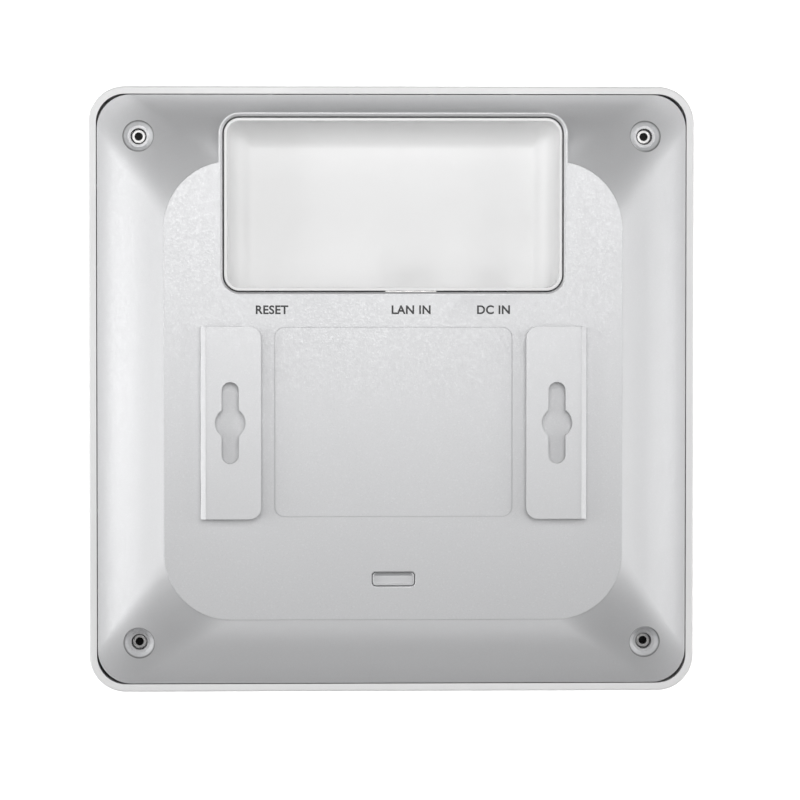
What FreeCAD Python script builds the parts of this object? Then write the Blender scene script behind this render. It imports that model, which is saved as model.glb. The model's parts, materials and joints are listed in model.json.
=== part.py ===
import FreeCAD, Part
import math
import os

# Ceiling access point, in millimetres.
# z = 0 is the flat front face, which looks down into the room, and +Z points to the ceiling.
# x = y = 0 is the middle of the square, and the cable bay lies on the +Y side.

os.makedirs("parts", exist_ok=True)
Vec = FreeCAD.Vector

# ---- whole object ----
cover_side = 194.0         # outside of the square front cover
overall_depth = 35.0       # front face to the tops of the mount rails
fit_gap = 0.1              # clearance round small parts that pass through each other
overlap = 0.5              # how far a boss or rib sinks into the wall it stands on

# ---- front cover ----
cover_height = 15.0
cover_corner_r = 11.8
cover_wall = 2.5
cover_face = 2.5
cover_front_round = 5.0
cover_inside_round = 2.5
cover_rim_round = 0.8
rib_width = 1.5
rib_count = 6              # ribs along each side
rib_pitch = 26.0
light_place_y = -60.0
light_width = 14.0
light_height = 2.4
light_sink = 0.6           # how far the lens bar reaches into the guide's flange
light_flange = 2.0
light_flange_thick = 1.2
light_column_r = 3.5
light_gasket_r = 2.4       # inside of the gasket
light_gasket_thick = 1.4

# ---- back shell ----
shell_gap = 0.3            # between the shell's edge and the cover's wall
shell_corner_extra = 1.5   # the shell's corners are this much rounder than the cover's opening
shell_wall = 2.0
skirt_depth = 3.0          # how far the shell's edge dips below the cover's rim
skirt_inside_drop = 1.6    # from the cover's rim down to the top of the skirt's inside
plateau_side = 145.5
plateau_corner_r = 21.3
plateau_step = 0.7
plateau_round = 0.35
slope_start = 0.3          # steepness at the shell's edge, as a share of the mean steepness
slope_stations = 5
label_width = 75.5
label_height = 60.3
label_corner_r = 3.3
label_depth = 0.12
label_groove_width = 0.35
label_groove_depth = 0.4
label_place_y = -9.9

# ---- corner screws and their wells ----
well_inset = 16.1          # from the cover's side to the screw's axis
well_r = 4.95
well_wall = 1.5
cone_top = 16.4
cone_low = 14.8
cone_low_r = 3.45
head_bore_r = 2.6
head_seat = 10.4           # height of the screw head's seat
post_meet = 8.5            # height where the shell's posts stand on the cover's posts
corner_head_r = 2.45
corner_head_h = 1.9
corner_shank_r = 1.5
corner_length = 6.6
socket_core_r = 0.95
socket_lobe_r = 0.36
socket_depth = 1.3
cover_post_r = 4.0
insert_wall = 0.6          # brass left round the screw
insert_length = 5.0
insert_groove_depth = 0.25
insert_groove_width = 0.6

# ---- cable bay, its frame and its tray ----
bay_width = 107.8
bay_height = 55.4
bay_place_y = 59.0
bay_corner_r = 5.4
bay_frame = 1.35
bay_frame_low = 15.2
bay_edge_round = 0.2       # outside edge of the frame
bay_mouth_round = 0.95     # inside edge of the frame
tray_gap = 0.35
tray_wall = 0.9
tray_sink = 0.6            # the tray's rim lies this much below the frame's
tray_floor_top = 11.5
tray_floor = 1.5
tray_round = 8.5           # the big inside round between floor and walls
tray_rim_round = 0.3
tray_ear_top = 14.5
tray_ear = 1.5
tray_ear_r = 4.0
tray_ear_pitch = 38.0
tray_boss_r = 2.8
tray_boss_offset = 4.4     # from the frame's outside to the boss's axis
tray_screw_r = 1.2

# ---- mount rails ----
rail_rise = 4.0            # plateau to rail top
rail_plate = 1.4
rail_web = 1.5
rail_span = 121.8          # outside to outside
rail_width = 19.0
rail_length = 60.8
rail_place_y = -10.0
rail_corner_r = 3.7
rail_bevel_width = 1.5      # of the bevel along the outer edge
rail_bevel_drop = 0.7
rail_crease_offset = 0.15   # from the bevel to the crease beside it
rail_crease_width = 0.6
rail_crease_depth = 0.12
rail_tab_length = 8.0
rail_tab_pitch = 22.0
rail_tab_count = 3
rail_tab_depth = 3.2
keyhole_pitch = 103.2
keyhole_r = 4.85
keyhole_slot = 5.46
keyhole_length = 25.8

# ---- latch pocket ----
latch_width = 13.7
latch_height = 4.5
latch_corner_r = 1.3
latch_place_y = -59.7
latch_gap = 0.25
latch_lip = 0.55
latch_depth = 1.2
latch_slant = 1.0          # how far the pocket's upper wall leans
latch_flange = 1.6
latch_edge_round = 0.15
latch_corner_loss = 0.3    # how much tighter the pocket's corners are than the cup's

# ---- main board ----
board_top = 14.0
board_thick = 1.6
board_half_x = 66.0
board_low_y = -66.0
board_high_y = 29.0
board_corner_r = 3.0
board_hole_inset_x = 6.0
board_hole_inset_y = 7.0
board_hole_r = 1.7
board_boss_r = 3.0
board_screw_r = 1.4
screw_head_r = 2.7
screw_head_h = 1.6
screw_reach = 7.0          # length of screw inside its boss
screw_slot_width = 0.6
screw_slot_floor = 0.7     # metal left under the cross slot
screw_slot_share = 0.7     # half length of the cross slot, as a share of the shank's radius

# ---- sockets in the cable bay's wall ----
port_set_back = 0.55       # socket faces behind the tray's inner wall
window_gap = 0.3
lan_x = 5.6
lan_width = 16.0
lan_length = 21.0
lan_height = 13.5
lan_sheet = 0.3
lan_cavity_width = 11.7
lan_cavity_low = 2.2
lan_cavity_high = 9.0
lan_cavity_length = 14.0
lan_latch_width = 6.2
lan_latch_high = 10.8
lan_notch_width = 3.4
lan_notch_high = 12.2
lan_peg_r = 1.5
lan_peg_tip = 1.2          # how far the pegs stick out below the board
lan_contact_count = 8
lan_contact_pitch = 1.02
lan_contact_width = 0.46
lan_contact_thick = 0.3
lan_contact_reach = 8.0
lan_contact_start = 10.5   # behind the socket's face
lan_contact_rise = 1.6     # above the cavity's lower side
lan_contact_lean = -10.0   # degrees
lan_contact_foot = 2.0
lan_spring_place = 5.0     # the sheet's spring slots, behind the socket's face
lan_spring_pitch = 2.4
lan_spring_width = 0.6
lan_spring_low = 3.0
lan_spring_high = 9.0
dc_x = 31.7
dc_width = 9.0
dc_length = 14.0
dc_height = 11.0
dc_axis_rise = 6.4         # above the board
dc_bore_r = 3.15
dc_bore_length = 9.5
dc_pin_r = 1.0
dc_pin_round = 0.5
dc_pin_set_back = 0.8
dc_leaf_width = 2.2
dc_leaf_back = 10.0        # both ends of the leaf, behind the socket's face
dc_leaf_front = 1.6
dc_leaf_low = 0.5          # below the bore's wall
dc_leaf_high = 0.2         # inside the bore

# ---- reset button ----
reset_x = -38.5
reset_rise = 2.8           # above the board
reset_travel = 0.4
reset_cap_r = 2.0
reset_cap_gap = 0.2
reset_cap_length = 4.6
reset_cap_round = 0.4
reset_cap_socket = 2.6     # depth of the stem's socket in the cap
reset_stem_r = 1.1
reset_flange_r = 1.7
switch_width = 6.2
switch_length = 4.6
switch_height = 5.4
switch_front = 26.4
switch_wall = 0.8
switch_flange_gap = 0.15
switch_stem_gap = 0.12
switch_disc_r = 0.45
switch_disc_thick = 0.25
switch_disc_offset = 0.8
switch_slack = 0.1         # at each end of the flange's travel

# ---- parts on the board ----
sink_x = -20.0
sink_y = -14.0
sink_half = 20.0
sink_base = 2.0
sink_fin = 1.4
sink_fin_rise = 7.0
sink_fin_count = 8
chip_half = 8.5
chip_thick = 1.4
pad_thick = 0.6
sink_pin_r = 1.4
sink_pin_inset = 3.0
sink_pin_clear_r = 3.2     # space between the fins round a pin's head
sink_pin_head_r = 2.6
sink_pin_head_h = 1.2
sink_pin_foot = 0.6        # plain length below the board
sink_pin_barb = 1.6
sink_pin_tip_r = 0.8
chip_mark_r = 0.4
chip_mark_depth = 0.1
chip_mark_inset = 1.0
memory_y = -46.0
memory_x = (-16.0, -1.0)
memory_size = (5.5, 4.0, 1.0)       # half width, half length and thickness
flash_place = (12.0, -22.0)
flash_size = (4.0, 2.5, 1.6)
crystal_place = (12.0, -31.0)
crystal_size = (2.5, 1.6, 1.1)
radio_size = (4.5, 4.5, 0.9)
can_half_x = 15.0
can_half_y = 11.0
can_height = 2.8
can_sheet = 0.3
can_corner_r = 1.0
can_vent_r = 0.8
can_vent_pitch = 5.0
can_vent_columns = 5
can_vent_rows = 3
can_y = -46.0
can_left_x = -41.0
can_right_x = 36.0
capacitor_x = 50.0
capacitor_y = (8.0, -4.0)
capacitor_r = 4.0
capacitor_height = 11.4
capacitor_lift = 0.4
capacitor_base = 0.5
capacitor_neck_r = 3.7
capacitor_neck_low = 1.6
capacitor_neck_high = 2.2
inductor_x = (24.0, 36.0)
inductor_y = -24.0
inductor_half = 4.0
inductor_base = 3.2
inductor_coil_r = 3.4
inductor_height = 4.2
ceramic_height = 0.8
ceramic_half = (0.8, 0.5)
ceramic_row_y = -60.5
ceramic_row_pitch = 7.0
ceramic_row_count = 14
ceramic_column_x = 4.8
ceramic_column_y = -20.0
ceramic_column_pitch = 4.0
ceramic_column_count = 5
header_place = (-52.0, 5.25)
header_half = (5.0, 1.25)
header_height = 2.5
header_pin_half = 0.3
header_pin_top = 8.5
header_pitch = 2.54
header_count = 4
magnetics_place = (10.0, 0.0)
magnetics_half = (7.5, 6.0)
magnetics_height = 6.0
magnetics_lift = 0.2
magnetics_foot_half = 0.4
magnetics_foot_reach = 7.0
magnetics_foot_thick = 0.3
magnetics_foot_pitch = 2.24
magnetics_foot_count = 6
coil_place = (31.0, -5.0)           # of the power transformer
coil_base_half = 7.0
coil_base_height = 3.0
coil_core_half = (5.5, 6.0)
coil_core_height = 9.5
coil_winding_r = 5.6
coil_winding_low = 4.0
coil_winding_high = 8.5
status_half = 1.4
status_thick = 0.8
status_corner_r = 0.3

# ---- antennas and their leads ----
antenna_half_x = 6.0
antenna_length = 40.0
antenna_thick = 0.8
antenna_low = 7.0
antenna_place_x = 80.0
antenna_pin_r = 0.95
antenna_post_r = 2.2
antenna_corner_r = 1.0
antenna_pin_inset = 6.0    # from the strip's ends to its pins
antenna_pin_offset = 2.5   # outwards of the strip's middle
antenna_pin_tip = 0.9      # above the strip
antenna_slot = 1.2
antenna_slot_offset = 1.0  # inwards of the strip's middle
antenna_slot_start = 4.0   # from the strip's two ends to its long slot
antenna_slot_end = 6.0
antenna_socket_r = 1.1
lead_r = 0.565
plug_x = 62.0
plug_offset = 2.5          # of the two plugs each side of their middle
plug_middle_y = -6.5
plug_r = 1.5
plug_gap = 0.6             # board to plug, filled by the socket
plug_height = 1.3
plug_barrel = 2.6
plug_barrel_half = 0.8
plug_barrel_drop = 0.1     # the barrel's top below the plug's
lead_axis_drop = 1.3       # lead's axis below the board, at the plug
lead_end_gap = 0.05        # from the lead's skin to the strip
lead_step = 0.1            # last rise before the lead's end
antenna_start = 14.0       # from a plug to the near end of its antenna
# Route of a lead: how far outwards, how far along and how far down each bend lies.
lead_bends = ((6.0, 0.0, 0.0), (10.6, 4.8, 1.2))
lead_rise = (12.4, 11.2)
lead_finish = (12.6, 17.4)

# ---- sizes that follow ----
cover_half = cover_side / 2
opening_half = cover_half - cover_wall
opening_corner_r = cover_corner_r - cover_wall
shell_half = opening_half - shell_gap
shell_corner_r = opening_corner_r + shell_corner_extra
plateau_half = plateau_side / 2
plateau_top = overall_depth - rail_rise
slope_width = shell_half - plateau_half
slope_rise = plateau_top - plateau_step - cover_height
skirt_low = cover_height - skirt_depth
ceiling = plateau_top - shell_wall
well_place = cover_half - well_inset
insert_r = corner_shank_r + insert_wall
bay_half_x = bay_width / 2
bay_half_y = bay_height / 2
tray_half_x = bay_half_x - tray_gap
tray_half_y = bay_half_y - tray_gap
tray_corner_r = bay_corner_r - tray_gap
tray_top = plateau_top - tray_sink
tray_inner_low_y = bay_place_y - tray_half_y + tray_wall
tray_boss_x = bay_half_x + bay_frame + tray_boss_offset
port_face = tray_inner_low_y - port_set_back
board_low = board_top - board_thick
window_top = board_top + max(lan_height, dc_height) + window_gap
bay_mouth_limit = plateau_top - window_top - fit_gap    # wall left over the windows
board_hole_x = board_half_x - board_hole_inset_x
board_hole_low_y = board_low_y + board_hole_inset_y
board_hole_high_y = board_high_y - board_hole_inset_y
chip_top = board_top + chip_thick
sink_low = chip_top + pad_thick
antenna_top = antenna_low + antenna_thick


def block(x0, x1, y0, y1, z0, z1):
    corner = Vec(min(x0, x1), min(y0, y1), min(z0, z1))
    return Part.makeBox(abs(x1 - x0), abs(y1 - y0), abs(z1 - z0), corner)


def rod(radius, low, high, x=0.0, y=0.0):
    return Part.makeCylinder(radius, high - low, Vec(x, y, low))


def rod_along_y(radius, start, end, x, z):
    return Part.makeCylinder(radius, end - start, Vec(x, start, z), Vec(0, 1, 0))


def ring(half_x, half_y, corner, z, x=0.0, y=0.0):
    """Closed wire of a rounded rectangle."""
    flat_x = half_x - corner
    flat_y = half_y - corner
    edges = []
    for quarter in range(4):
        start = math.radians(90 * quarter)
        turn_x = flat_x if quarter in (0, 3) else -flat_x
        turn_y = flat_y if quarter in (0, 1) else -flat_y
        centre = Vec(x + turn_x, y + turn_y, z)
        ends = []
        for share in (0.0, 0.5, 1.0):
            angle = start + share * math.pi / 2
            ends.append(centre + Vec(corner * math.cos(angle), corner * math.sin(angle), 0))
        if edges:
            edges.append(Part.makeLine(last, ends[0]))
        else:
            first = ends[0]
        edges.append(Part.Arc(ends[0], ends[1], ends[2]).toShape())
        last = ends[2]
    edges.append(Part.makeLine(last, first))
    return Part.Wire(edges)


def slab(half_x, half_y, corner, low, high, x=0.0, y=0.0):
    """Upright prism on a rounded rectangle."""
    face = Part.Face(ring(half_x, half_y, corner, low, x, y))
    return face.extrude(Vec(0, 0, high - low))


def joined(pieces):
    return pieces[0].multiFuse(pieces[1:]).removeSplitter()


def edges_at(shape, z, wanted=None):
    """Edges that lie in the level z, kept to those that the test wanted accepts."""
    found = []
    for edge in shape.Edges:
        box = edge.BoundBox
        if abs(box.ZMin - z) < 1e-4 and abs(box.ZMax - z) < 1e-4:
            if wanted is None or wanted(box):
                found.append(edge)
    return found


def save(name, *pieces):
    """Writes one node: a single solid, or a group of separate ones."""
    solids = []
    for piece in pieces:
        solids.extend(piece.Solids)
    shape = solids[0] if len(solids) == 1 else Part.makeCompound(solids)
    volume = sum(solid.Volume for solid in solids)
    print(f"{name}: {len(solids)} solid(s), valid {shape.isValid()}, {volume:.1f} mm3")
    shape.exportStep(f"parts/{name}.step")


def four_corners(reach):
    return [(sx * reach, sy * reach) for sx in (-1, 1) for sy in (-1, 1)]


def screw_up(x, y, seat, radius, length):
    """Pan head screw whose shank points up from the level of its seat."""
    head = rod(screw_head_r, seat - screw_head_h, seat, x, y)
    head = head.makeFillet(screw_head_h / 2, edges_at(head, seat - screw_head_h))
    long = radius * screw_slot_share
    thin = screw_slot_width / 2
    low = seat - screw_head_h
    high = seat - screw_slot_floor
    cross = block(x - long, x + long, y - thin, y + thin, low, high)
    cross = cross.fuse(block(x - thin, x + thin, y - long, y + long, low, high))
    return joined([head.cut(cross), rod(radius, seat - fit_gap, seat + length, x, y)])


# ---- front cover ----

def rib(side, place, along_x):
    """Small upright rib on the cover's wall, which the shell's edge stands on."""
    deep = opening_half - shell_gap - shell_wall
    outer = opening_half + overlap
    low = cover_face - overlap
    if along_x:
        return block(place - rib_width / 2, place + rib_width / 2, side * deep, side * outer,
                     low, skirt_low)
    return block(side * deep, side * outer, place - rib_width / 2, place + rib_width / 2,
                 low, skirt_low)


def antenna_centre_y(direction):
    plug_y = plug_middle_y + direction * plug_offset
    return plug_y + direction * (antenna_start + antenna_length / 2)


def antenna_pins():
    """Axes of the pins that hold the antennas, two to each."""
    reach = antenna_length / 2 - antenna_pin_inset
    places = []
    for side in (-1, 1):
        for direction in (-1, 1):
            for end in (-1, 1):
                place_y = antenna_centre_y(direction) + end * reach
                places.append((side * (antenna_place_x + antenna_pin_offset), place_y))
    return places


def front_cover():
    body = slab(cover_half, cover_half, cover_corner_r, 0, cover_height)
    body = body.makeFillet(cover_front_round, edges_at(body, 0))
    body = body.makeFillet(cover_rim_round, edges_at(body, cover_height))
    hollow = slab(opening_half, opening_half, opening_corner_r, cover_face, cover_height + 1)
    hollow = hollow.makeFillet(cover_inside_round, edges_at(hollow, cover_face))
    body = body.cut(hollow)
    inside = []
    for side in (-1, 1):
        for number in range(rib_count):
            place = (number - (rib_count - 1) / 2) * rib_pitch
            inside.append(rib(side, place, True))
            inside.append(rib(side, place, False))
    for x, y in four_corners(well_place):
        post = rod(cover_post_r, cover_face - overlap, post_meet, x, y)
        inside.append(post.cut(rod(insert_r, post_meet - insert_length, post_meet, x, y)))
    for x, y in antenna_pins():
        inside.append(rod(antenna_post_r, cover_face - overlap, antenna_low, x, y))
        inside.append(rod(antenna_pin_r, antenna_low - overlap, antenna_top + antenna_pin_tip,
                          x, y))
    body = joined([body] + inside)
    window = slab(light_width / 2 + fit_gap, light_height / 2 + fit_gap, light_height / 2,
                  -1, cover_face + 1, 0, light_place_y)
    return body.cut(window)


def light_guide():
    """Clear guide: a lens bar in the front face, a flange behind it and a round column."""
    bar = slab(light_width / 2, light_height / 2, light_height / 2 - fit_gap,
               0, cover_face + light_sink, 0, light_place_y)
    flange = slab(light_width / 2 + light_flange, light_height / 2 + light_flange,
                  light_height / 2, cover_face, cover_face + light_flange_thick,
                  0, light_place_y)
    column = rod(light_column_r, cover_face + light_sink, board_low - light_gasket_thick,
                 0, light_place_y)
    return joined([bar, flange, column])


def light_gasket():
    low = board_low - light_gasket_thick
    outside = rod(light_column_r, low, board_low, 0, light_place_y)
    return outside.cut(rod(light_gasket_r, low - 1, board_low + 1, 0, light_place_y))


def boss_inserts():
    """Brass inserts with two grooves, one in each post of the cover."""
    inserts = []
    low = post_meet - insert_length
    for x, y in four_corners(well_place):
        insert = rod(insert_r, low, post_meet, x, y)
        for third in (1, 2):
            level = low + third * insert_length / 3
            groove = rod(insert_r + 1, level - insert_groove_width / 2,
                         level + insert_groove_width / 2, x, y)
            core = rod(insert_r - insert_groove_depth, level - 1, level + 1, x, y)
            insert = insert.cut(groove.cut(core))
        inserts.append(insert.cut(rod(corner_shank_r + fit_gap / 2, low - 1, post_meet + 1, x, y)))
    return inserts


# ---- back shell ----

def slope_height(share):
    """Height of the concave slope, from 0 at the shell's edge to 1 at the plateau."""
    return cover_height + slope_rise * (slope_start * share + (1 - slope_start) * share ** 2)


def slope_angle(share):
    steep = slope_rise / slope_width * (slope_start + 2 * (1 - slope_start) * share)
    return math.atan(steep)


def slope_ring(share, wall):
    """Outline of the slope at one station, moved inwards by a wall thickness."""
    inset = wall * math.sin(slope_angle(share))
    drop = wall * math.cos(slope_angle(share))
    half = shell_half - share * slope_width - inset
    corner = shell_corner_r + share * (plateau_corner_r - shell_corner_r) - inset
    return ring(half, half, corner, slope_height(share) - drop)


def slope_solid(wall):
    shares = [n / (slope_stations - 1) for n in range(slope_stations)]
    return Part.makeLoft([slope_ring(share, wall) for share in shares], True, False)


def shell_outside():
    """Everything under the shell's outer surface, without the frame of the bay."""
    skirt = slab(shell_half, shell_half, shell_corner_r, skirt_low, cover_height)
    plateau = slab(plateau_half, plateau_half, plateau_corner_r,
                   plateau_top - plateau_step, plateau_top)
    plateau = plateau.makeFillet(plateau_round, edges_at(plateau, plateau_top))
    return joined([skirt, slope_solid(0), plateau])


def shell_inside():
    skirt_half = shell_half - shell_wall
    corner = shell_corner_r - shell_wall
    low_top = cover_height - skirt_inside_drop
    low = slab(skirt_half, skirt_half, corner, skirt_low - 1, low_top)
    under_plateau = slab(plateau_half - shell_wall, plateau_half - shell_wall,
                         plateau_corner_r - shell_wall, cover_height, ceiling)
    limit = slab(skirt_half, skirt_half, corner, skirt_low - 1, ceiling)
    return joined([low, slope_solid(shell_wall), under_plateau]).common(limit)


def well_cutter(x, y):
    """Space for the screw and the driver: a wide well, a cone, a bore and the shank's hole."""
    wide = rod(well_r, cone_top, plateau_top + 1, x, y)
    cone = Part.makeCone(cone_low_r, well_r, cone_top - cone_low, Vec(x, y, cone_low))
    bore = rod(head_bore_r, head_seat, cone_top, x, y)
    shank = rod(corner_shank_r + 2 * fit_gap, post_meet - 1, head_seat + 1, x, y)
    return joined([wide, cone, bore, shank])


def board_places():
    return [(side * board_hole_x, y) for side in (-1, 1)
            for y in (board_hole_low_y, board_hole_high_y)]


def tray_places():
    return [(side * tray_boss_x, bay_place_y + end * tray_ear_pitch / 2)
            for side in (-1, 1) for end in (-1, 1)]


def rail_tab(side, number, gap):
    """One tab of a rail, or with a gap the slot that it passes through."""
    middle = rail_place_y + (number - (rail_tab_count - 1) / 2) * rail_tab_pitch
    outer = side * (rail_span / 2 + gap)
    inner = side * (rail_span / 2 - rail_web - gap)
    return block(outer, inner, middle - rail_tab_length / 2 - gap,
                 middle + rail_tab_length / 2 + gap, plateau_top - rail_tab_depth, plateau_top)


def port_windows():
    """Holes for the two sockets and the reset button in the bay's wall."""
    start = bay_place_y - bay_half_y - bay_frame - 1
    end = tray_inner_low_y + 1
    windows = []
    for x, width, height in ((lan_x, lan_width, lan_height), (dc_x, dc_width, dc_height)):
        half = width / 2 + window_gap
        windows.append(block(x - half, x + half, start, end,
                             board_top - window_gap, board_top + height + window_gap))
    windows.append(rod_along_y(reset_cap_r + reset_cap_gap, start, end,
                               reset_x, board_top + reset_rise))
    return windows


def back_shell():
    outside = shell_outside()
    frame = slab(bay_half_x + bay_frame, bay_half_y + bay_frame, bay_corner_r + bay_frame,
                 bay_frame_low, plateau_top, 0, bay_place_y)
    frame = frame.makeFillet(bay_edge_round, edges_at(frame, plateau_top))
    posts = []
    for x, y in four_corners(well_place):
        posts.append(rod(well_r + well_wall, skirt_low + 1, plateau_top, x, y).common(outside))
        posts.append(rod(well_r + well_wall, post_meet + 2, skirt_low + 1.5, x, y))
        posts.append(rod(cover_post_r, post_meet, post_meet + 2, x, y))
    for x, y in board_places():
        posts.append(rod(board_boss_r, board_top, plateau_top, x, y).common(outside))
    for x, y in tray_places():
        posts.append(rod(tray_boss_r, tray_ear_top, plateau_top, x, y).common(outside))
    body = joined([outside.cut(shell_inside()), frame] + posts)
    cutters = [slab(bay_half_x, bay_half_y, bay_corner_r, 0, plateau_top + 1, 0, bay_place_y)]
    cutters += [well_cutter(x, y) for x, y in four_corners(well_place)]
    for x, y in board_places():
        cutters.append(rod(board_screw_r, board_top - 1, board_top + screw_reach + 1, x, y))
    for x, y in tray_places():
        cutters.append(rod(tray_screw_r, tray_ear_top - 1, tray_ear_top + screw_reach + 1, x, y))
    for side in (-1, 1):
        for number in range(rail_tab_count):
            cutters.append(rail_tab(side, number, fit_gap))
    cutters.append(slab(label_width / 2, label_height / 2, label_corner_r,
                        plateau_top - label_depth, plateau_top + 1, 0, label_place_y))
    groove = slab(label_width / 2, label_height / 2, label_corner_r,
                  plateau_top - label_groove_depth, plateau_top + 1, 0, label_place_y)
    island = slab(label_width / 2 - label_groove_width, label_height / 2 - label_groove_width,
                  label_corner_r - label_groove_width, ceiling, plateau_top + 2, 0, label_place_y)
    cutters.append(groove.cut(island))
    cutters.append(slab(latch_width / 2, latch_height / 2, latch_corner_r,
                        ceiling - 1, plateau_top + 1, 0, latch_place_y))
    cutters += port_windows()
    for cutter in cutters:
        body = body.cut(cutter)
    mouth = edges_at(body, plateau_top, lambda box: abs(box.YMin - bay_place_y) < bay_half_y + 0.05
                     and abs(box.YMax - bay_place_y) < bay_half_y + 0.05
                     and max(abs(box.XMin), abs(box.XMax)) < bay_half_x + 0.05)
    return body.makeFillet(min(bay_mouth_round, bay_mouth_limit), mouth)


# ---- port bay tray ----

def rounded_well(half_x, half_y, corner, low, high, radius):
    """Prism whose bottom edges are rounded, except on the side of the sockets."""
    reach = half_y + radius + 5
    long_well = slab(half_x, reach, corner, low, high, 0, bay_place_y + half_y - reach)
    long_well = long_well.makeFillet(radius, edges_at(long_well, low))
    return long_well.common(slab(half_x, half_y, corner, low, high, 0, bay_place_y))


def port_bay_tray():
    corner = tray_corner_r - tray_wall
    solid = slab(tray_half_x, tray_half_y, tray_corner_r,
                 tray_floor_top - tray_floor, tray_top, 0, bay_place_y)
    solid = solid.makeFillet(tray_rim_round, edges_at(solid, tray_top))
    space = rounded_well(tray_half_x - tray_wall, tray_half_y - tray_wall, corner,
                         tray_floor_top, tray_top + 1, tray_round)
    solid = solid.cut(space)
    ears = []
    for x, y in tray_places():
        inner = math.copysign(tray_half_x - 0.5, x)
        ear = block(inner, x, y - tray_ear_r, y + tray_ear_r, tray_ear_top - tray_ear, tray_ear_top)
        ear = ear.fuse(rod(tray_ear_r, tray_ear_top - tray_ear, tray_ear_top, x, y))
        ears.append(ear.cut(rod(tray_screw_r + 0.3, 0, tray_ear_top + 1, x, y)))
    solid = joined([solid] + ears)
    for window in port_windows():
        solid = solid.cut(window)
    return solid


# ---- mount rails and latch pocket ----

def mount_rail(side):
    """Hooked rail: a plate carried on a web along its outer edge, with three tabs below."""
    outer = side * rail_span / 2
    middle = side * (rail_span - rail_width) / 2
    half_length = rail_length / 2
    plate_low = overall_depth - rail_plate
    plate = slab(rail_width / 2, half_length, rail_corner_r, plate_low, overall_depth,
                 middle, rail_place_y)
    low_y = rail_place_y - half_length
    high_y = rail_place_y + half_length
    square_end = block(outer, middle, low_y, high_y, plate_low, overall_depth)
    web = block(outer, outer - side * rail_web, low_y, high_y, plateau_top, overall_depth)
    rail = joined([plate, square_end, web])
    corner = [Vec(outer + side, low_y - 1, overall_depth + 1),
              Vec(outer + side, low_y - 1, overall_depth - rail_bevel_drop),
              Vec(outer, low_y - 1, overall_depth - rail_bevel_drop),
              Vec(outer - side * rail_bevel_width, low_y - 1, overall_depth),
              Vec(outer - side * rail_bevel_width, low_y - 1, overall_depth + 1)]
    bevel = Part.Face(Part.makePolygon(corner + corner[:1]))
    rail = rail.cut(bevel.extrude(Vec(0, rail_length + 2, 0)))
    hole_x = side * keyhole_pitch / 2
    rail = rail.cut(rod(keyhole_r, plateau_top, overall_depth + 1, hole_x, rail_place_y))
    rail = rail.cut(slab(keyhole_slot / 2, keyhole_length / 2, keyhole_slot / 2 - 0.01,
                         plateau_top, overall_depth + 1, hole_x, rail_place_y))
    crease = outer - side * (rail_bevel_width + rail_crease_offset)
    rail = rail.cut(block(crease, crease - side * rail_crease_width, low_y - 1, high_y + 1,
                          overall_depth - rail_crease_depth, overall_depth + 1))
    tabs = [rail_tab(side, number, 0) for number in range(rail_tab_count)]
    return joined([rail] + tabs)


def latch_pocket():
    """Small cup that fills the slot from behind, with a lip round a shallow pocket."""
    half_x = latch_width / 2 - latch_gap
    half_y = latch_height / 2 - latch_gap
    top = plateau_top - latch_gap
    cup = slab(half_x, half_y, latch_corner_r - latch_gap, ceiling - overlap, top,
               0, latch_place_y)
    cup = cup.makeFillet(latch_edge_round, edges_at(cup, top))
    pocket_y = latch_place_y + latch_lip / 2
    corner = latch_corner_r - latch_gap - latch_corner_loss
    mouth_y = half_y - latch_lip / 2
    floor_y = mouth_y - latch_slant / 2
    floor = ring(half_x - latch_lip, floor_y, corner, top - latch_depth, 0,
                 pocket_y - latch_slant / 2)
    mouth = ring(half_x - latch_lip, mouth_y, corner, top, 0, pocket_y)
    pocket = Part.makeLoft([floor, mouth], True, True)
    flange = slab(latch_width / 2 + latch_flange, latch_height / 2 + latch_flange, latch_corner_r,
                  ceiling - 1, ceiling, 0, latch_place_y)
    return joined([cup.cut(pocket), flange])


# ---- fasteners ----

def star_socket(x, y, top):
    cutter = rod(socket_core_r, top - socket_depth, top + 1, x, y)
    for lobe in range(6):
        angle = math.radians(60 * lobe)
        lobe_x = x + socket_core_r * math.cos(angle)
        lobe_y = y + socket_core_r * math.sin(angle)
        cutter = cutter.fuse(rod(socket_lobe_r, top - socket_depth, top + 1, lobe_x, lobe_y))
    return cutter


def corner_screws():
    screws = []
    top = head_seat + corner_head_h
    for x, y in four_corners(well_place):
        head = rod(corner_head_r, head_seat, top, x, y)
        head = head.makeFillet(0.5, edges_at(head, top)).cut(star_socket(x, y, top))
        shank = rod(corner_shank_r, head_seat - corner_length, head_seat + 0.2, x, y)
        screws.append(joined([head, shank]))
    return screws


# ---- main board ----

def main_board():
    half_y = (board_high_y - board_low_y) / 2
    middle_y = (board_high_y + board_low_y) / 2
    board = slab(board_half_x, half_y, board_corner_r, board_low, board_top, 0, middle_y)
    holes = [rod(board_hole_r, board_low - 1, board_top + 1, x, y) for x, y in board_places()]
    for side in (-1, 1):
        holes.append(rod(lan_peg_r + fit_gap, board_low - 1, board_top + 1,
                         lan_x + side * lan_width / 4, port_face - lan_length / 2))
        holes.append(rod(sink_pin_r + fit_gap, board_low - 1, board_top + 1,
                         *sink_pin_place(side)))
    for hole in holes:
        board = board.cut(hole)
    return board


def sink_pin_place(side):
    reach = sink_half - sink_pin_inset
    return sink_x + side * reach, sink_y + side * reach


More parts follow.
